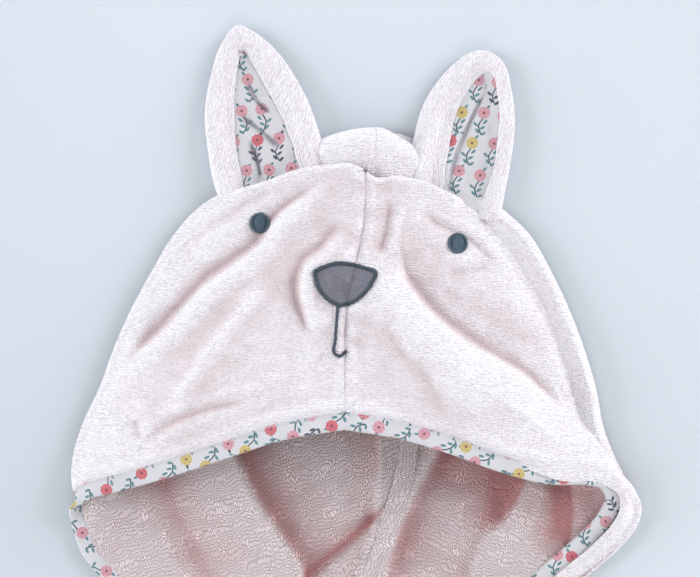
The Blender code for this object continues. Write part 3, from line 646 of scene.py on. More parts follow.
def add_node(tree, kind, inputs, **settings):
    """A shader node; inputs are (socket, number or colour or Field or other node's socket)."""
    node = tree.nodes.new("ShaderNode" + kind)
    for name, value in settings.items():
        setattr(node, name, value)
    for socket, value in inputs:
        value = value.socket if isinstance(value, Field) else value
        if isinstance(value, bpy.types.NodeSocket):
            tree.links.new(value, node.inputs[socket])
        else:
            node.inputs[socket].default_value = (*value, 1) if isinstance(value, tuple) else value
    return node


class Field:
    """A number at each point of a surface, worked out by shader nodes."""

    def __init__(self, tree, socket):
        self.tree = tree
        self.socket = socket

    def math(self, operation, *others, clamp=False):
        node = add_node(self.tree, "Math", enumerate((self, *others)), operation=operation, use_clamp=clamp)
        return Field(self.tree, node.outputs[0])

    def __add__(self, other):
        return self.math("ADD", other)

    def __sub__(self, other):
        return self.math("SUBTRACT", other)

    def __mul__(self, other):
        return self.math("MULTIPLY", other)

    def inside(self, soft):
        """1 where the number is below 0, with a soft edge."""
        return (self * (-1 / soft)).math("ADD", 0.5, clamp=True)

    def between(self, low, high):
        """0 at low and 1 at high."""
        return (self - low).math("MULTIPLY", 1 / (high - low), clamp=True)


class Surface:
    """A cloth material and the few nodes that every cloth uses."""

    def __init__(self, name, roughness, sheen, sheen_tint=(1, 1, 1), specular=0.2):
        self.material = bpy.data.materials.new(name)
        self.material.use_nodes = True
        self.tree = self.material.node_tree
        self.shader = self.tree.nodes["Principled BSDF"]
        self.shader.inputs["Roughness"].default_value = roughness
        self.shader.inputs["Sheen Weight"].default_value = sheen
        self.shader.inputs["Sheen Roughness"].default_value = 0.45
        self.shader.inputs["Sheen Tint"].default_value = (*sheen_tint, 1)
        self.shader.inputs["Specular IOR Level"].default_value = specular
        source = add_node(self.tree, "UVMap", (), uv_map="UVMap")
        split = add_node(self.tree, "SeparateXYZ", [(0, source.outputs[0])])
        self.u, self.v = Field(self.tree, split.outputs[0]), Field(self.tree, split.outputs[1])
        # the painted shade of each point, worked out in cloth_object
        depth = add_node(self.tree, "Attribute", (), attribute_name="hollow")
        self.hollow = Field(self.tree, depth.outputs["Fac"])

    def combine(self, x, y):
        return add_node(self.tree, "CombineXYZ", enumerate((x, y, 0.0))).outputs[0]

    def noise(self, size, detail=2.0, stretch=(1, 1)):
        """Soft noise of a size in metres; stretch makes it finer along u or v."""
        vector = self.combine(self.u * (stretch[0] / size), self.v * (stretch[1] / size))
        inputs = [("Scale", 1.0), ("Detail", detail), ("Vector", vector)]
        return Field(self.tree, add_node(self.tree, "TexNoise", inputs).outputs["Fac"])

    def cells(self, vector, randomness):
        """Distance to the edges of random cells."""
        inputs = [("Scale", 1.0), ("Randomness", randomness), ("Vector", vector)]
        node = add_node(self.tree, "TexVoronoi", inputs, voronoi_dimensions="2D", feature="DISTANCE_TO_EDGE")
        return Field(self.tree, node.outputs["Distance"])

    def random(self, vector):
        """A random number for each whole place."""
        node = add_node(self.tree, "TexWhiteNoise", [("Vector", vector)], noise_dimensions="2D")
        return Field(self.tree, node.outputs["Value"])

    def mix(self, mask, low, high):
        """Mix two colours (or colour sockets) by a field."""
        return add_node(self.tree, "Mix", [(0, mask), (6, low), (7, high)], data_type="RGBA").outputs[2]

    def finish(self, colour, height, depth):
        self.tree.links.new(colour, self.shader.inputs["Base Color"])
        inputs = [("Strength", 1.0), ("Distance", depth), ("Height", height)]
        bump = add_node(self.tree, "Bump", inputs)
        self.tree.links.new(bump.outputs[0], self.shader.inputs["Normal"])
        return self.material


def velour_cloth():
    """Sheared pile: fine broken rows, a speckle between tufts, a bright sheen at the folds, and painted shade
    in its hollows.
    """
    s = Surface("velour", 0.95, 0.75, (0.95, 0.97, 1.0), 0.15)
    drift = (s.noise(0.006, 3) - 0.5) * 3.2
    row = ((s.v * (1 / 0.00150) + drift) * math.tau).math("SINE") * 0.5 + 0.5
    post = ((s.u * (1 / 0.00230) + drift * 0.9) * math.tau).math("SINE") * 0.5 + 0.5
    dash = s.noise(0.00165, 1, stretch=(0.62, 1.25))
    tuft = s.noise(0.0008, 2)
    pile = row * 0.20 + row * post * 0.24 + dash * 0.9 + tuft * 0.5
    patch = s.noise(0.018, 3)
    speckle = pile.between(0.50, 0.98)
    tone = s.mix(speckle, VELOUR_SPECKLE, VELOUR)
    brushed = s.mix(patch.between(0.35, 0.75) * 0.35, tone, (0.92, 0.89, 0.93))
    # painted shade: hollows are mixed towards a darker, warmer colour
    with_painted_shade = s.mix(s.hollow, brushed, VELOUR_SHADE_PAINT)
    return s.finish(with_painted_shade, pile, 0.00080)


def terry_cloth():
    """Uncut loops, squeezed together, with painted shade of deeper pink between them and in the cloth's
    hollows.
    """
    s = Surface("terry", 0.97, 0.35, (1.0, 0.94, 0.94), 0.15)
    warp_u = (s.noise(0.0130, 1) - 0.5) * 0.0100
    warp_v = (s.noise(0.0130, 1, stretch=(1.0, 1.1)) - 0.5) * 0.0100
    loops = s.cells(s.combine((s.u + warp_u) * (1 / 0.00100), (s.v + warp_v) * (1 / 0.0023)), 0.75)
    fibre = s.noise(0.0005, 2)
    pile = loops.between(0.0, 0.20) + fibre * 0.25
    patch = s.noise(0.022, 3)
    # painted shade: the low places between loops are darker
    tone = s.mix(pile.between(0.08, 0.75), TERRY_GAP_SHADE, TERRY)
    faded = s.mix(patch.between(0.4, 0.8) * 0.3, tone, (0.86, 0.76, 0.77))
    # painted shade: hollows are mixed towards a darker, warmer colour
    with_painted_shade = s.mix(s.hollow * 0.92, faded, TERRY_SHADE_PAINT)
    return s.finish(with_painted_shade, pile, 0.0009)


def printed_cloth():
    """Cotton printed with scattered small flowers on leafy stems."""
    s = Surface("printed_cotton", 0.82, 0.35, (0.95, 0.97, 1.0), 0.3)
    wobble = (s.noise(0.006, 2) - 0.5) * 0.7
    c, t = math.cos(0.7), math.sin(0.7)
    u = (s.u * c + s.v * t) * 1000 + wobble
    v = (s.v * c - s.u * t) * 1000 + wobble
    row = (v * (1 / PRINT_CELL[1])).math("FLOOR")
    shifted = u * (1 / PRINT_CELL[0]) + row * 0.5
    column = shifted.math("FLOOR")
    cell = s.combine(column, row)
    pick = s.random(cell)
    other = s.random(s.combine(row + 37.0, column + 11.0))
    flip = (other - 0.5).math("SIGN")
    aside = s.random(s.combine(column + 5.0, row + 71.0)) - 0.5
    ahead = s.random(s.combine(column + 53.0, row + 17.0)) - 0.5
    p = (((shifted - column) - 0.5) * PRINT_CELL[0] + aside * 2.6) * flip
    q = (v * (1 / PRINT_CELL[1]) - row - 0.5) * PRINT_CELL[1] + ahead * 2.6
    bend = (q * 0.42).math("SINE") * 1.3
    stem = ((p - bend).math("ABSOLUTE") - 0.42).math("MAXIMUM", ((q + 2.0).math("ABSOLUTE") - 7.0))
    leaves = None
    for lq, lp, angle in ((-8.0, 1.9, 0.7), (-6.6, -1.8, 2.3), (-4.4, 1.0, 0.6), (-2.6, -3.2, 2.5),
                          (-0.6, 2.4, 0.8), (8.2, 3.2, 0.9)):
        dp, dq = p - lp, q - lq
        long_way = dp * math.cos(angle) + dq * math.sin(angle)
        short_way = (dq * math.cos(angle) - dp * math.sin(angle)) * 2.3
        leaf = (long_way * long_way + short_way * short_way).math("SQRT") - 1.75
        leaves = leaf if leaves is None else leaves.math("MINIMUM", leaf)
    hp, hq = p - 1.1, q - 4.6
    reach = (hp * hp + hq * hq).math("SQRT")
    turn = hq.math("ARCTAN2", hp)
    scallop = (turn * PETALS).math("COSINE") * 0.20
    head = reach - scallop - (HEAD_RADIUS - 0.4)
    heart = reach - 0.75
    spots = ((reach * 3.1).math("SINE") * (turn * 5).math("SINE")).between(0.15, 0.6)
    red_pick = pick.math("LESS_THAN", 0.20)
    yellow_pick = pick.math("GREATER_THAN", 0.80)
    grey_pick = other.math("GREATER_THAN", 0.86)
    bloom = s.mix(red_pick, (0.88, 0.47, 0.54), (0.82, 0.21, 0.25))
    bloom = s.mix(yellow_pick, bloom, (0.82, 0.68, 0.26))
    bloom = s.mix(spots * 0.4, bloom, (0.42, 0.09, 0.11))
    leaf_colour = s.mix(grey_pick, (0.15, 0.33, 0.36), (0.09, 0.10, 0.14))
    cloth = s.mix(s.noise(0.012, 2).between(0.3, 0.8), PRINT_WHITE, (0.86, 0.84, 0.88))
    paint = s.mix(leaves.inside(0.35), cloth, leaf_colour)
    paint = s.mix(stem.inside(0.25), paint, (0.035, 0.100, 0.125))
    paint = s.mix(head.inside(0.35), paint, bloom)
    paint = s.mix(heart.inside(0.4), paint, (0.30, 0.06, 0.08))
    # painted shade: creases of the lining are mixed towards a dark colour
    paint = s.mix(s.hollow * 0.75, paint, (0.38, 0.36, 0.43))
    weave = ((s.u * (math.tau / 0.0004)).math("SINE") * (s.v * (math.tau / 0.0004)).math("SINE")) * 0.25
    crumple = s.noise(0.004, 3)
    return s.finish(paint, weave + crumple * 1.4, 0.0005)


def satin_thread(name, colour, bright):
    """Shiny embroidery thread, twisted along each stitch."""
    s = Surface(name, 0.42, 0.2, (0.8, 0.9, 1.0), 0.5)
    twist = ((s.u * 2.2 + s.v) * (math.tau / 0.0005)).math("SINE") * 0.5 + 0.5
    tone = s.mix((s.noise(0.002, 2).between(0.3, 0.7) * 0.6), colour, bright)
    return s.finish(tone, twist, 0.00008)


def twill_cloth():
    """Fine dark woven patch with diagonal ribs."""
    s = Surface("grey_twill", 0.72, 0.25, (0.85, 0.9, 1.0), 0.35)
    rib = ((s.u + s.v) * (math.tau / 0.0007)).math("SINE") * 0.5 + 0.5
    fleck = s.noise(0.0009, 2)
    tone = s.mix(fleck.between(0.35, 0.7), GREY_TWILL, (0.22, 0.22, 0.26))
    tone = s.mix(s.noise(0.004, 2).between(0.5, 0.7) * 0.5, tone, (0.28, 0.25, 0.28))
    return s.finish(tone, rib + fleck, 0.00016)


def tape_cloth():
    """Woven cotton tape with a rib across it."""
    s = Surface("cotton_tape", 0.85, 0.2, (1, 1, 1), 0.25)
    rib = (s.u * (math.tau / 0.0009)).math("SINE") * 0.5 + 0.5
    tone = s.mix(s.noise(0.002, 2).between(0.3, 0.7), (0.64, 0.53, 0.54), TAPE)
    return s.finish(tone, rib + s.noise(0.0006, 2), 0.0002)


def floor_surface():
    """Pale table top, with painted shade that makes it a little darker towards its lower left."""
    made = bpy.data.materials.new("table")
    made.use_nodes = True
    tree = made.node_tree
    shader = tree.nodes["Principled BSDF"]
    shader.inputs["Roughness"].default_value = 0.75
    shader.inputs["Specular IOR Level"].default_value = 0.2
    grain = tree.nodes.new("ShaderNodeTexNoise")
    grain.inputs["Scale"].default_value = 3.0
    ramp = tree.nodes.new("ShaderNodeMix")
    ramp.data_type = "RGBA"
    ramp.inputs[6].default_value = (*FLOOR, 1)
    ramp.inputs[7].default_value = (FLOOR[0] * 0.84, FLOOR[1] * 0.84, FLOOR[2] * 0.85, 1)
    place = tree.nodes.new("ShaderNodeTexCoord")
    slope = tree.nodes.new("ShaderNodeVectorMath")
    slope.operation = "DOT_PRODUCT"
    slope.inputs[1].default_value = (-1.6, -1.0, 0)
    tree.links.new(place.outputs["Object"], slope.inputs[0])
    # painted shade: darker towards the lower left, with a little random grain
    dim = Field(tree, slope.outputs["Value"]).between(-0.35, 0.50) + Field(tree, grain.outputs["Fac"]) * 0.05
    tree.links.new(dim.socket, ramp.inputs[0])
    tree.links.new(ramp.outputs[2], shader.inputs["Base Color"])
    return made


VELOUR_CLOTH = velour_cloth()
TERRY_CLOTH = terry_cloth()
PRINT_CLOTH = printed_cloth()
SLATE_SATIN = satin_thread("slate_satin", SLATE, (0.075, 0.105, 0.135))
EYE_SATIN = satin_thread("eye_satin", SLATE_EYE, (0.120, 0.185, 0.235))
WHITE_SATIN = satin_thread("white_satin", WHITE_THREAD, (0.84, 0.84, 0.88))
TWILL_CLOTH = twill_cloth()
TAPE_CLOTH = tape_cloth()


# ---------------------------------------------------------------- pieces of the hood

def settle(made, body, slot, *nodes):
    """Hide the CAD nodes that a piece stands for, and give the piece its body when body is a name; otherwise
    only fix its place in the world. slot is not used.
    """
    if nodes:
        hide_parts(*nodes)
    if isinstance(body, str):
        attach(made, body)
    else:
        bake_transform(made)


def neck_bend():
    """Bodies and points of a bend at the neck seam, given to settle, which does not bend the piece by them.
    """
    return ("towel", "hood", (0, NECK_Y, 0), (0, NECK_Y + NECK_BEND, 0))


def edge_fold(outer, corner_x):
    """How the outline is rolled: lightly along the top edge, fully down the side fold."""
    side = smooth(np.abs(outer[:, 0]) / abs(corner_x) * 6 - 5)
    side = np.maximum(side, outer[:, 1] < 0.24)
    return TOP_EDGE_ROLL + (SIDE_ROLL - TOP_EDGE_ROLL) * side, TOP_EDGE_DROP + 0.03 * side


def face_shade(x, v, depth):
    """Painted shade of the face: its hollows and broad low places are painted warmer and darker."""
    return depth / 0.0026 + np.clip(folds(x, v, FACE_SHADE_STROKES), 0, 0.65)


def inside_shade(x, v, depth):
    """Painted shade of the inside: its hollows are painted warmer and darker, most of all under the brow and
    in the right corner.
    """
    brow = np.abs(distance(BROW, x, v)[0])
    right = smooth((x - 0.020) / 0.060)
    # painted shade under the brow, stronger towards the right corner
    brow_shade = (0.20 + 0.45 * right) * smooth(1 - brow / (0.022 + 0.035 * right))
    return (depth / 0.0060 + brow_shade + folds(x, v, INSIDE_SHADE_STROKES)) * smooth((0.150 - v) / 0.02)


def face_sheets():
    """The two front panels of the face, in velour outside and terry inside."""
    rows_seam, rows_lip = 150, 175
    seam = even(SEAM_LINE, rows_seam + 1)
    inner = np.concatenate([seam, even(LEFT_LIP, rows_lip + 1)[1:]])
    shares = np.interp(np.arange(len(inner)), [0, rows_seam, len(inner) - 1], [0, 0.56, 1])
    outer = along(LEFT_OUTER, shares)
    radius, drop = edge_fold(outer, -0.083)
    inner[:rows_seam, 0] -= SEAM_GAP
    grid = strip(inner, outer, 130, radius, EDGE_LOW, face_height, drop=drop)
    left = cloth_object("hood_face_left_cloth", grid, VELOUR_THICKNESS, [VELOUR_CLOTH, TERRY_CLOTH], 0.10,
                        shade=face_shade)
    settle(left, "hood", "velour", "hood_face_left")

    rows_arch, rows_side = 170, 110
    arch = even(RIGHT_LIP[:LIP_ARCH], rows_arch + 1)
    side = even(RIGHT_LIP[LIP_ARCH - 1:], rows_side + 1)
    inner = np.concatenate([seam, arch[1:], side[1:]])
    marks = [0, rows_seam, rows_seam + rows_arch, len(inner) - 1]
    outer = along(RIGHT_OUTER, np.interp(np.arange(len(inner)), marks, [0, 0.42, 0.66, 1]))
    inner[:rows_seam, 0] += SEAM_GAP
    radius, drop = edge_fold(outer, 0.074)
    grid = strip(inner, outer, 120, radius, EDGE_LOW, face_height, drop=drop)
    right = cloth_object("hood_face_right_cloth", grid, VELOUR_THICKNESS, [VELOUR_CLOTH, TERRY_CLOTH], -0.06,
                         shade=face_shade)
    settle(right, neck_bend(), "velour", "hood_face_right")


TOP_EDGE = np.array(LEFT_OUTER[6:0:-1] + RIGHT_OUTER[1:6])


def crown_height(x, v):
    """Height of the crown, which goes under the face's top edge."""
    seam = np.abs(x - 0.011)
    bump = 0.0035 * np.exp(-((v - 0.294) / 0.010)**2) * np.exp(-((x - 0.008) / 0.022)**2)
    z = 0.0080 + 0.0105 * np.exp(-((x - 0.005) / 0.034)**4) + bump
    z = z - 0.0011 * np.exp(-seam / 0.0016) + 0.0008 * noise(x, v, 0.012, 5)
    edge = np.interp(x, TOP_EDGE[:, 0], TOP_EDGE[:, 1])
    return np.minimum(z, face_height(x, v) - 0.0042 + 0.010 * smooth((v - edge + 0.001) / 0.012))


def crown_strip(start, end, rows, shift):
    """One half of the crown, between shares of its outlines."""
    shares = np.linspace(start, end, rows)
    inner, outer = along(CROWN_INNER, shares), along(CROWN_OUTER, shares)
    inner[:, 0] += shift
    outer[:, 0] += shift
    return strip(inner, outer, 26, CROWN_ROLL, CROWN_LOW, crown_height, turn=1.9, roll=14)


def back_sheets():
    """The two back panels: terry inside, velour outside, and the crown that they form."""
    coarse, fine, columns = 44, 250, 250
    outlines = {"left": (LEFT_BACK, 0.50, -SEAM_GAP), "right": (RIGHT_BACK, 0.47, SEAM_GAP)}
    middle = 0.54
    for side, (outline, share, gap) in outlines.items():
        rows = np.concatenate([np.linspace(0, 1, coarse, endpoint=False), 1 + np.linspace(0, 1, fine)])
        seam = along(BACK_SEAM, np.interp(rows, [0, 1, 2], [0.02, 0.50, 1]))
        outer = along(outline, np.interp(rows, [0, 1, 2], [0.03, share, 1]))
        seam[:, 0] += gap
        far = even(outline[4:10 if side == "left" else 12], 40)

        def height(x, v):
            edge = np.abs(distance(far, x, v)[0])
            lift = (fold_height(v) - 0.0036) * smooth(1.15 - edge / 0.026)
            detail = np.where(v < BACK_VISIBLE, terry_loops(x, v), 0)
            return back_height(x, v) + lift + detail
        grid = strip(seam, outer, columns, BACK_ROLL, EDGE_LOW, height, turn=1.75, roll=8)
        if side == "left":
            cap = crown_strip(0.0, middle, 60, -SEAM_GAP)
        else:
            cap = crown_strip(middle, 1.0, 60, SEAM_GAP)
        made = cloth_object("hood_back_" + side + "_cloth", grid, TERRY_THICKNESS,
                            [TERRY_CLOTH, VELOUR_CLOTH], 0.35 if side == "left" else -0.3, velour_columns=56,
                            shade=inside_shade, hollow_reach=24)
        settle(made, neck_bend(), "terry", "hood_back_" + side)
        crown = cloth_object("hood_crown_" + side + "_cloth", cap, VELOUR_THICKNESS,
                             [VELOUR_CLOTH] * 2, 0.0)
        settle(crown, "hood", "velour")


def rim_frames():
    """Frames of the opening's binding, from the left of the neck over the brow to its right."""
    step_count = 330
    left = even(LEFT_RIM, step_count, 3)[::-1]
    right = even(RIGHT_RIM, step_count, 3)[1:]
    centre = np.concatenate([left[:, :3], right[:, :3]])
    centre[:, 1] += NECK_Y
    travel = unit(np.gradient(centre, axis=0))
    lean = np.radians(left[:, 3])
    inward_left = np.column_stack([np.sin(lean), np.cos(lean), 0 * lean])
    tilt = np.radians(right[:, 3])
    ahead = travel[len(left):]
    plan = unit(np.column_stack([-ahead[:, 1], ahead[:, 0]]))
    inward_right = np.column_stack([plan * np.cos(tilt)[:, None], -np.sin(tilt)])
    inward = np.concatenate([inward_left, inward_right])
    relax(inward, 8)
    inward = unit(inward - travel * np.sum(inward * travel, axis=1, keepdims=True))
    return centre, inward, np.cross(travel, inward)


def opening_binding():
    """The printed binding and the two rows of stitches through it."""
    centre, inward, normal = rim_frames()
    section = round_section(BAND_HALF_WIDTH, BAND_HALF_THICKNESS, 20, 0.6)
    run = np.linspace(0, 1, len(centre))
    pucker = 0.0003 * noise(run * 0.75, 0 * run, 0.009, 31)[:, None]
    band = tube((centre + normal * pucker, inward, normal), section)
    made = tube_object("hood_opening_binding_cloth", [band], PRINT_CLOTH)
    settle(made, neck_bend(), "printed_cotton", "hood_opening_binding")

    stitches = []
    inset = BAND_HALF_WIDTH * 0.78
    count = 210
    index = np.arange(len(centre))
    for mark in np.linspace(0.01, 0.99, count):
        places = (mark + np.linspace(-0.32, 0.32, 5) / count) * (len(centre) - 1)
        rise = BAND_HALF_THICKNESS * 0.98 + THREAD * np.array([-0.8, 0.4, 0.8, 0.4, -0.8])
        spots, ins, ups = (np.column_stack([np.interp(places, index, rows[:, k]) for k in range(3)])
                           for rows in (centre, inward, normal))
        for face in (1, -1):
            stitches.append(thread(spots + ins * inset + ups * (rise * face)[:, None], THREAD))
    made = tube_object("hood_opening_topstitch", stitches, WHITE_SATIN)
    settle(made, neck_bend(), "printed_cotton")


def seam_tapes():
    """The taped allowances on the inside of the two middle seams."""
    line = even([(x, v) for x, v in BACK_SEAM if v > 0.004], 240)
    spots = put(line[:, 0], line[:, 1], back_height(line[:, 0], line[:, 1]) + 0.0005)
    relax(spots[:, 2], 10)
    spots[:, 2] += 0.0004
    made = tape_object("hood_back_seam_tape_cloth", spots, 0.0060, TERRY_CLOTH)
    settle(made, neck_bend(), "cotton_tape", "hood_back_seam_tape")
    line = even(SEAM_LINE[1:-1], 120)
    spots = put(line[:, 0], line[:, 1], face_height(line[:, 0], line[:, 1]) - 0.0036)
    made = tape_object("hood_front_seam_tape_cloth", spots, 0.0050, TAPE_CLOTH)
    settle(made, "hood", "cotton_tape", "hood_front_seam_tape")


def tape_object(name, spots, half_width, cloth):
    """A flat tape along points."""
    travel = unit(np.gradient(spots, axis=0))
    side = unit(np.column_stack([travel[:, 1], -travel[:, 0], 0 * travel[:, 0]]))
    up = np.cross(side, travel)
    section = round_section(half_width, 0.0006, 12, 0.5)
    return tube_object(name, [tube((spots, side, up), section)], cloth)


def embroidery():
    """Eyes, nose and mouth, stitched through the face."""
    for name, (x, v) in EYES.items():
        stitches = []
        for k in range(-12, 13):
            offset = k * 0.00040
            half = math.sqrt(max((EYE_RADIUS * 0.80)**2 - offset**2, 0.0)) * 0.86
            if half < 0.0006:
                continue
            run = np.linspace(-half, half, 9)
            spots = np.column_stack([x + run, v + offset + 0 * run])
            lift = 0.00075 + 0.0002 * np.cos(run / half * 1.5)
            stitches.append(thread(on_face(spots, lift), THREAD * 1.15))
        for k in range(96):
            turn = math.tau * k / 96
            out = np.array([math.cos(turn), math.sin(turn)])
            radii = np.linspace(EYE_RADIUS * 0.72, EYE_RADIUS * 1.04, 5)
            spots = np.array([[x, v]]) + radii[:, None] * out
            lift = np.array([0.0006, 0.0011, 0.0013, 0.0010, 0.0002])
            stitches.append(thread(on_face(spots, lift), THREAD))
        rings = np.linspace(0, EYE_RADIUS * 0.95, 8)[:, None]
        turns = np.linspace(0, math.tau, 41)[None, :]
        disc_x, disc_v = x + rings * np.cos(turns), v + rings * np.sin(turns)
        pad = put(disc_x, disc_v, face_height(disc_x, disc_v) + 0.0005)
        points, quads = sheet_parts(pad[1:], 0.0009)[:2]
        stitches.append((points, quads, points[:, :2]))
        made = tube_object(name + "_stitching", stitches, EYE_SATIN)
        settle(made, "hood", "slate_thread", name)

    outline = even(NOSE + [NOSE[0]], 97)[:-1]
    middle = outline.mean(axis=0)
    shares = np.linspace(0.02, 1.0, 16)[:, None, None]
    fill = middle + (outline[None] - middle) * shares
    fill = np.concatenate([fill, fill[:, :1]], axis=1)
    grid = put(fill[..., 0], fill[..., 1], face_height(fill[..., 0], fill[..., 1]) + 0.0007)
    patch = cloth_object("nose_patch_cloth", grid, 0.0007, [TWILL_CLOTH] * 2, 0.3)
    settle(patch, "hood", "grey_thread", "nose_patch")

    dense = even(NOSE + [NOSE[0]], 241)[:-1]
    ahead = np.roll(dense, -1, axis=0) - np.roll(dense, 1, axis=0)
    out = unit(np.column_stack([ahead[:, 1], -ahead[:, 0]]))
    rng = np.random.default_rng(41)
    made = tube_object("nose_border_stitching", satin_row(dense, out, 0.00128, rng), SLATE_SATIN)
    settle(made, "hood", "slate_thread", "nose_border")

    dense = even(MOUTH, 90)
    ahead = np.gradient(dense, axis=0)
    out = unit(np.column_stack([ahead[:, 1], -ahead[:, 0]]))
    made = tube_object("mouth_stitching", satin_row(dense, out, 0.00105, rng), SLATE_SATIN)
    settle(made, "hood", "slate_thread", "mouth_stitch")


def satin_row(line, out, half, rng):
    """Short stitches side by side across a line."""
    stitches = []
    for spot, aside in zip(line, out):
        reach = half * rng.uniform(0.74, 1.22, 2)
        run = np.linspace(-reach[0], reach[1], 6)
        spots = spot + run[:, None] * aside
        lift = 0.0005 + 0.0008 * np.cos(run / half * 1.25)
        stitches.append(thread(on_face(spots, lift), THREAD * 1.2))
    return stitches


# ---------------------------------------------------------------- ears

def ear_height(shape, x, v):
    """Height of an ear's upper side, from its root in the seam to its tip near the table."""
    root_v, tip_v = shape["outline"][0][1] + 0.012, max(point[1] for point in shape["outline"])
    f = smooth((v - root_v) / (tip_v - root_v) * 1.15)
    x0, x1 = shape["outline"][0][0], shape["outline"][-1][0]
    cross = np.clip((x - x0) / (x1 - x0), 0, 1)
    root = EAR_ROOT_HEIGHT * (1 - cross) + shape["high"] * cross
    edge = np.abs(distance(shape["edge"], x, v)[0])
    z = root * (1 - f) + EAR_TIP_HEIGHT * f
    z = z + 0.0022 * np.exp(-((edge - 0.0065) / 0.0045)**2) - 0.0012 * smooth((edge - 0.010) / 0.006)
    return z + 0.0004 * noise(x, v, 0.009, 6)


def lining_depth(shape, x, v):
    """How far a place lies inside the lining's outline."""
    away = distance(shape["lining_edge"], x, v)[0]
    return away * np.sign(shape["outline"][0][0])


def lining_shade(x, v, depth):
    """Painted shade: creases of the lining are painted darker."""
    return depth / 0.0013 - 0.08


def ears():
    """Each ear: a velour back with rolled edges, and a printed lining."""
    for side, shape in EARS.items():
        shape["edge"] = even(shape["outline"], 70)
        shape["lining_edge"] = even(shape["lining"], 60)

        def height(x, v):
            depth = lining_depth(shape, x, v)
            return ear_height(shape, x, v) - 0.0034 * smooth((depth + 0.0004) / 0.0024)

        def lining_height(x, v):
            near = np.abs(distance(shape["lining_edge"], x, v)[0])
            ripple = 0.0007 * noise(x, v, 0.0075, 12)
            dip = 0.0011 * np.exp(-near / 0.0016)
            creased = 1.5 * folds(x, v, shape["creases"]) * smooth(near / 0.004)
            return ear_height(shape, x, v) - 0.0002 - dip + creased + ripple
        rows = 170
        outer = even(shape["outline"], rows)
        half = rows // 2
        up = even(shape["spine"], half)
        inner = np.concatenate([up, up[::-1]])
        grid = strip(inner, outer, 36, EAR_ROLL, EDGE_LOW, height, turn=2.5, roll=12)
        made = cloth_object(side + "_ear_back_cloth", grid, EAR_BACK_THICKNESS, [VELOUR_CLOTH] * 2, 1.2,
                            open_inner=True)
        joint = JOINTS[side + "_ear_flop"]
        pivot, axis = np.array(joint["pos_m"]), np.array(joint["axis"])
        tip = shape["edge"][len(shape["edge"]) // 2]
        away = np.array([tip[0], tip[1] + NECK_Y, pivot[2]]) - pivot
        away -= axis * (away @ axis)
        away /= np.linalg.norm(away)
        bend = ("hood", side + "_ear", tuple(pivot - away * 0.002), tuple(pivot + away * EAR_BEND))
        settle(made, bend, "velour", side + "_ear_back")
        outer = even(shape["lining"], rows)
        share = np.linspace(0, 1, 26)[None, :, None]
        plan = inner[:, None] * (1 - share) + outer[:, None] * share
        grid = put(plan[..., 0], plan[..., 1], lining_height(plan[..., 0], plan[..., 1]))
        made = cloth_object(side + "_ear_lining_cloth", grid, LINING_THICKNESS, [PRINT_CLOTH] * 2,
                            shape["turn"], open_inner=True, shade=lining_shade, hollow_reach=4)
        settle(made, bend, "printed_cotton", side + "_ear_lining")


# ---------------------------------------------------------------- towel

TOWEL_CORNER = 0.035
TOWEL_STEP = 0.004            # size of its mesh
TOWEL_HEIGHT = 0.0040
NECK_HALF_WIDTH = 0.104


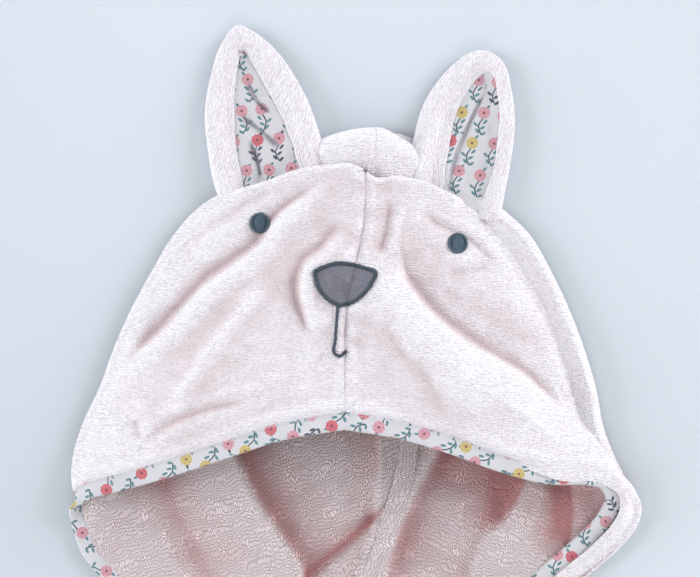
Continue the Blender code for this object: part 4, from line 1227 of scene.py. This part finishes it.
def towel():
    """The towel: one sheet of terry, lying flat with soft undulations, and its bound edge."""
    x0, x1 = TOWEL_LOW[0], TOWEL_HIGH[0]
    y0, y1 = TOWEL_LOW[1], TOWEL_HIGH[1]
    ys = np.linspace(y0, y1, int((y1 - y0) / TOWEL_STEP))
    near = np.minimum(ys - y0, y1 - ys)
    inset = np.where(near < TOWEL_CORNER,
                     TOWEL_CORNER - np.sqrt(np.maximum(TOWEL_CORNER**2 - (TOWEL_CORNER - near)**2, 0)), 0)
    across = np.linspace(-1, 1, int((x1 - x0) / TOWEL_STEP))
    x = across[None, :] * ((x1 - x0) / 2 - inset[:, None])
    y = np.broadcast_to(ys[:, None], x.shape)
    edge = np.minimum(np.minimum(y - y0, y1 - y), np.minimum(x - x0, x1 - x))
    free = smooth(edge / 0.05)
    wave = 0.0022 * (1 + noise(x, y, 0.11, 51)) + 0.0010 * (1 + noise(x, y, 0.045, 52))
    z = TOWEL_HEIGHT + wave * free
    grid = np.dstack([x, y, z])
    made = cloth_object("towel_cloth", grid, TOWEL_THICKNESS, [TERRY_CLOTH, VELOUR_CLOTH], 0.0)
    settle(made, "towel", "terry", "towel_panel")

    low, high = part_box("towel_edge_binding")
    half = BAND_HALF_WIDTH
    r = TOWEL_CORNER - half
    xa, ya, yb = high[0] - half, low[1] + half, high[1] - half
    outline = [(-NECK_HALF_WIDTH, yb)]
    for cx, cy, start in ((-xa + r, yb - r, 90), (-xa + r, ya + r, 180), (xa - r, ya + r, 270),
                          (xa - r, yb - r, 0)):
        for k in range(13):
            turn = math.radians(start + 7.5 * k)
            outline.append((cx + r * math.cos(turn), cy + r * math.sin(turn)))
    outline.append((NECK_HALF_WIDTH, yb))
    line = np.array(outline)
    gaps = np.concatenate([[0], np.cumsum(np.linalg.norm(np.diff(line, axis=0), axis=1))])
    runs = np.linspace(0, gaps[-1], 900)
    spots = np.column_stack([np.interp(runs, gaps, line[:, 0]), np.interp(runs, gaps, line[:, 1])])
    centre = np.column_stack([spots, np.full(len(spots), 0.00245)])
    travel = unit(np.gradient(spots, axis=0))
    inward = np.column_stack([-travel[:, 1], travel[:, 0], 0 * travel[:, 0]])
    up = np.tile([0.0, 0.0, 1.0], (len(spots), 1))
    lip, slit = 0.0024, 0.0019
    section = np.array([(-half, -0.0010), (-half * 0.86, -lip), (0, -lip), (half, -lip), (half, -slit),
                        (0, -slit), (-half * 0.66, -slit), (-half * 0.70, 0), (-half * 0.66, slit),
                        (0, slit), (half, slit), (half, lip), (0, lip), (-half * 0.86, lip),
                        (-half, 0.0010), (-half * 1.02, 0)])
    section = np.roll(section, 8, axis=0)
    made = tube_object("towel_edge_binding_cloth", [tube((centre, inward, up), section)], PRINT_CLOTH)
    settle(made, "towel", "printed_cotton", "towel_edge_binding")

    low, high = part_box("neck_seam_tape")
    xs = np.linspace(low[0], high[0], 120)
    y_mid = (low[1] + high[1]) / 2 + 0.0016
    z = 0.0052 + 0.0022 * (1 + noise(xs, 0 * xs + y_mid, 0.11, 51)) * smooth((y1 - y_mid) / 0.05)
    spots = np.column_stack([xs, np.full(len(xs), y_mid), z])
    made = tape_object("neck_seam_tape_cloth", spots, (high[1] - low[1]) / 2 + 0.0016, TAPE_CLOTH)
    settle(made, "towel", "cotton_tape", "neck_seam_tape")


# ---------------------------------------------------------------- table, light and camera

CAMERA_X, CAMERA_Y = -0.004, 0.4030
CAMERA_HEIGHT = 1.62
VIEW_WIDTH = 0.4200
HORIZON = (0.90, 0.94, 1.0, 1)
ZENITH = (0.40, 0.395, 0.40, 1)


def stage():
    """The table, the room's light and the camera."""
    bpy.ops.mesh.primitive_plane_add(size=60, location=(0, 0, -0.0002))
    floor = bpy.context.object
    floor.name = "table"
    floor.data.materials.append(floor_surface())

    world = bpy.data.worlds.new("soft_room")
    bpy.context.scene.world = world
    world.use_nodes = True
    tree = world.node_tree
    back = tree.nodes["Background"]
    place = tree.nodes.new("ShaderNodeTexCoord")
    split = tree.nodes.new("ShaderNodeSeparateXYZ")
    sky = tree.nodes.new("ShaderNodeMix")
    sky.data_type = "RGBA"
    sky.inputs[6].default_value = HORIZON
    sky.inputs[7].default_value = ZENITH
    tree.links.new(place.outputs["Generated"], split.inputs[0])
    tree.links.new(split.outputs[2], sky.inputs[0])
    tree.links.new(sky.outputs[2], back.inputs["Color"])
    back.inputs["Strength"].default_value = 1.0

    for name, spot, spread, power, colour in (
            ("window", (1.90, 0.95, 0.62), 44, 2.6, (0.97, 0.98, 1.0)),
            ("wall", (-2.00, 0.10, 0.58), 44, 2.45, (0.96, 0.98, 1.0)),
            ("front", (0.20, -1.70, 1.10), 60, 0.7, (1.0, 0.99, 0.99))):
        data = bpy.data.lights.new(name, "SUN")
        data.angle = math.radians(spread)
        data.energy = power
        data.color = colour
        light = bpy.data.objects.new(name, data)
        bpy.context.scene.collection.objects.link(light)
        light.location = spot
        aim_at(light, (0, 0, 0))

    view = bpy.data.cameras.new("camera")
    view.sensor_width = 36
    view.lens = 36 * CAMERA_HEIGHT / VIEW_WIDTH
    view.clip_start = 0.05
    view.clip_end = 20
    camera = bpy.data.objects.new("camera", view)
    bpy.context.scene.collection.objects.link(camera)
    camera.location = (CAMERA_X, CAMERA_Y, CAMERA_HEIGHT)
    bpy.context.scene.camera = camera
    bpy.context.scene.view_settings.view_transform = "Standard"


def aim_at(thing, target):
    """Turn a light to a point."""
    direction = Vector(target) - Vector(thing.location)
    thing.rotation_euler = direction.to_track_quat("-Z", "Y").to_euler()


stage()
face_sheets()
back_sheets()
opening_binding()
seam_tapes()
embroidery()
ears()
towel()
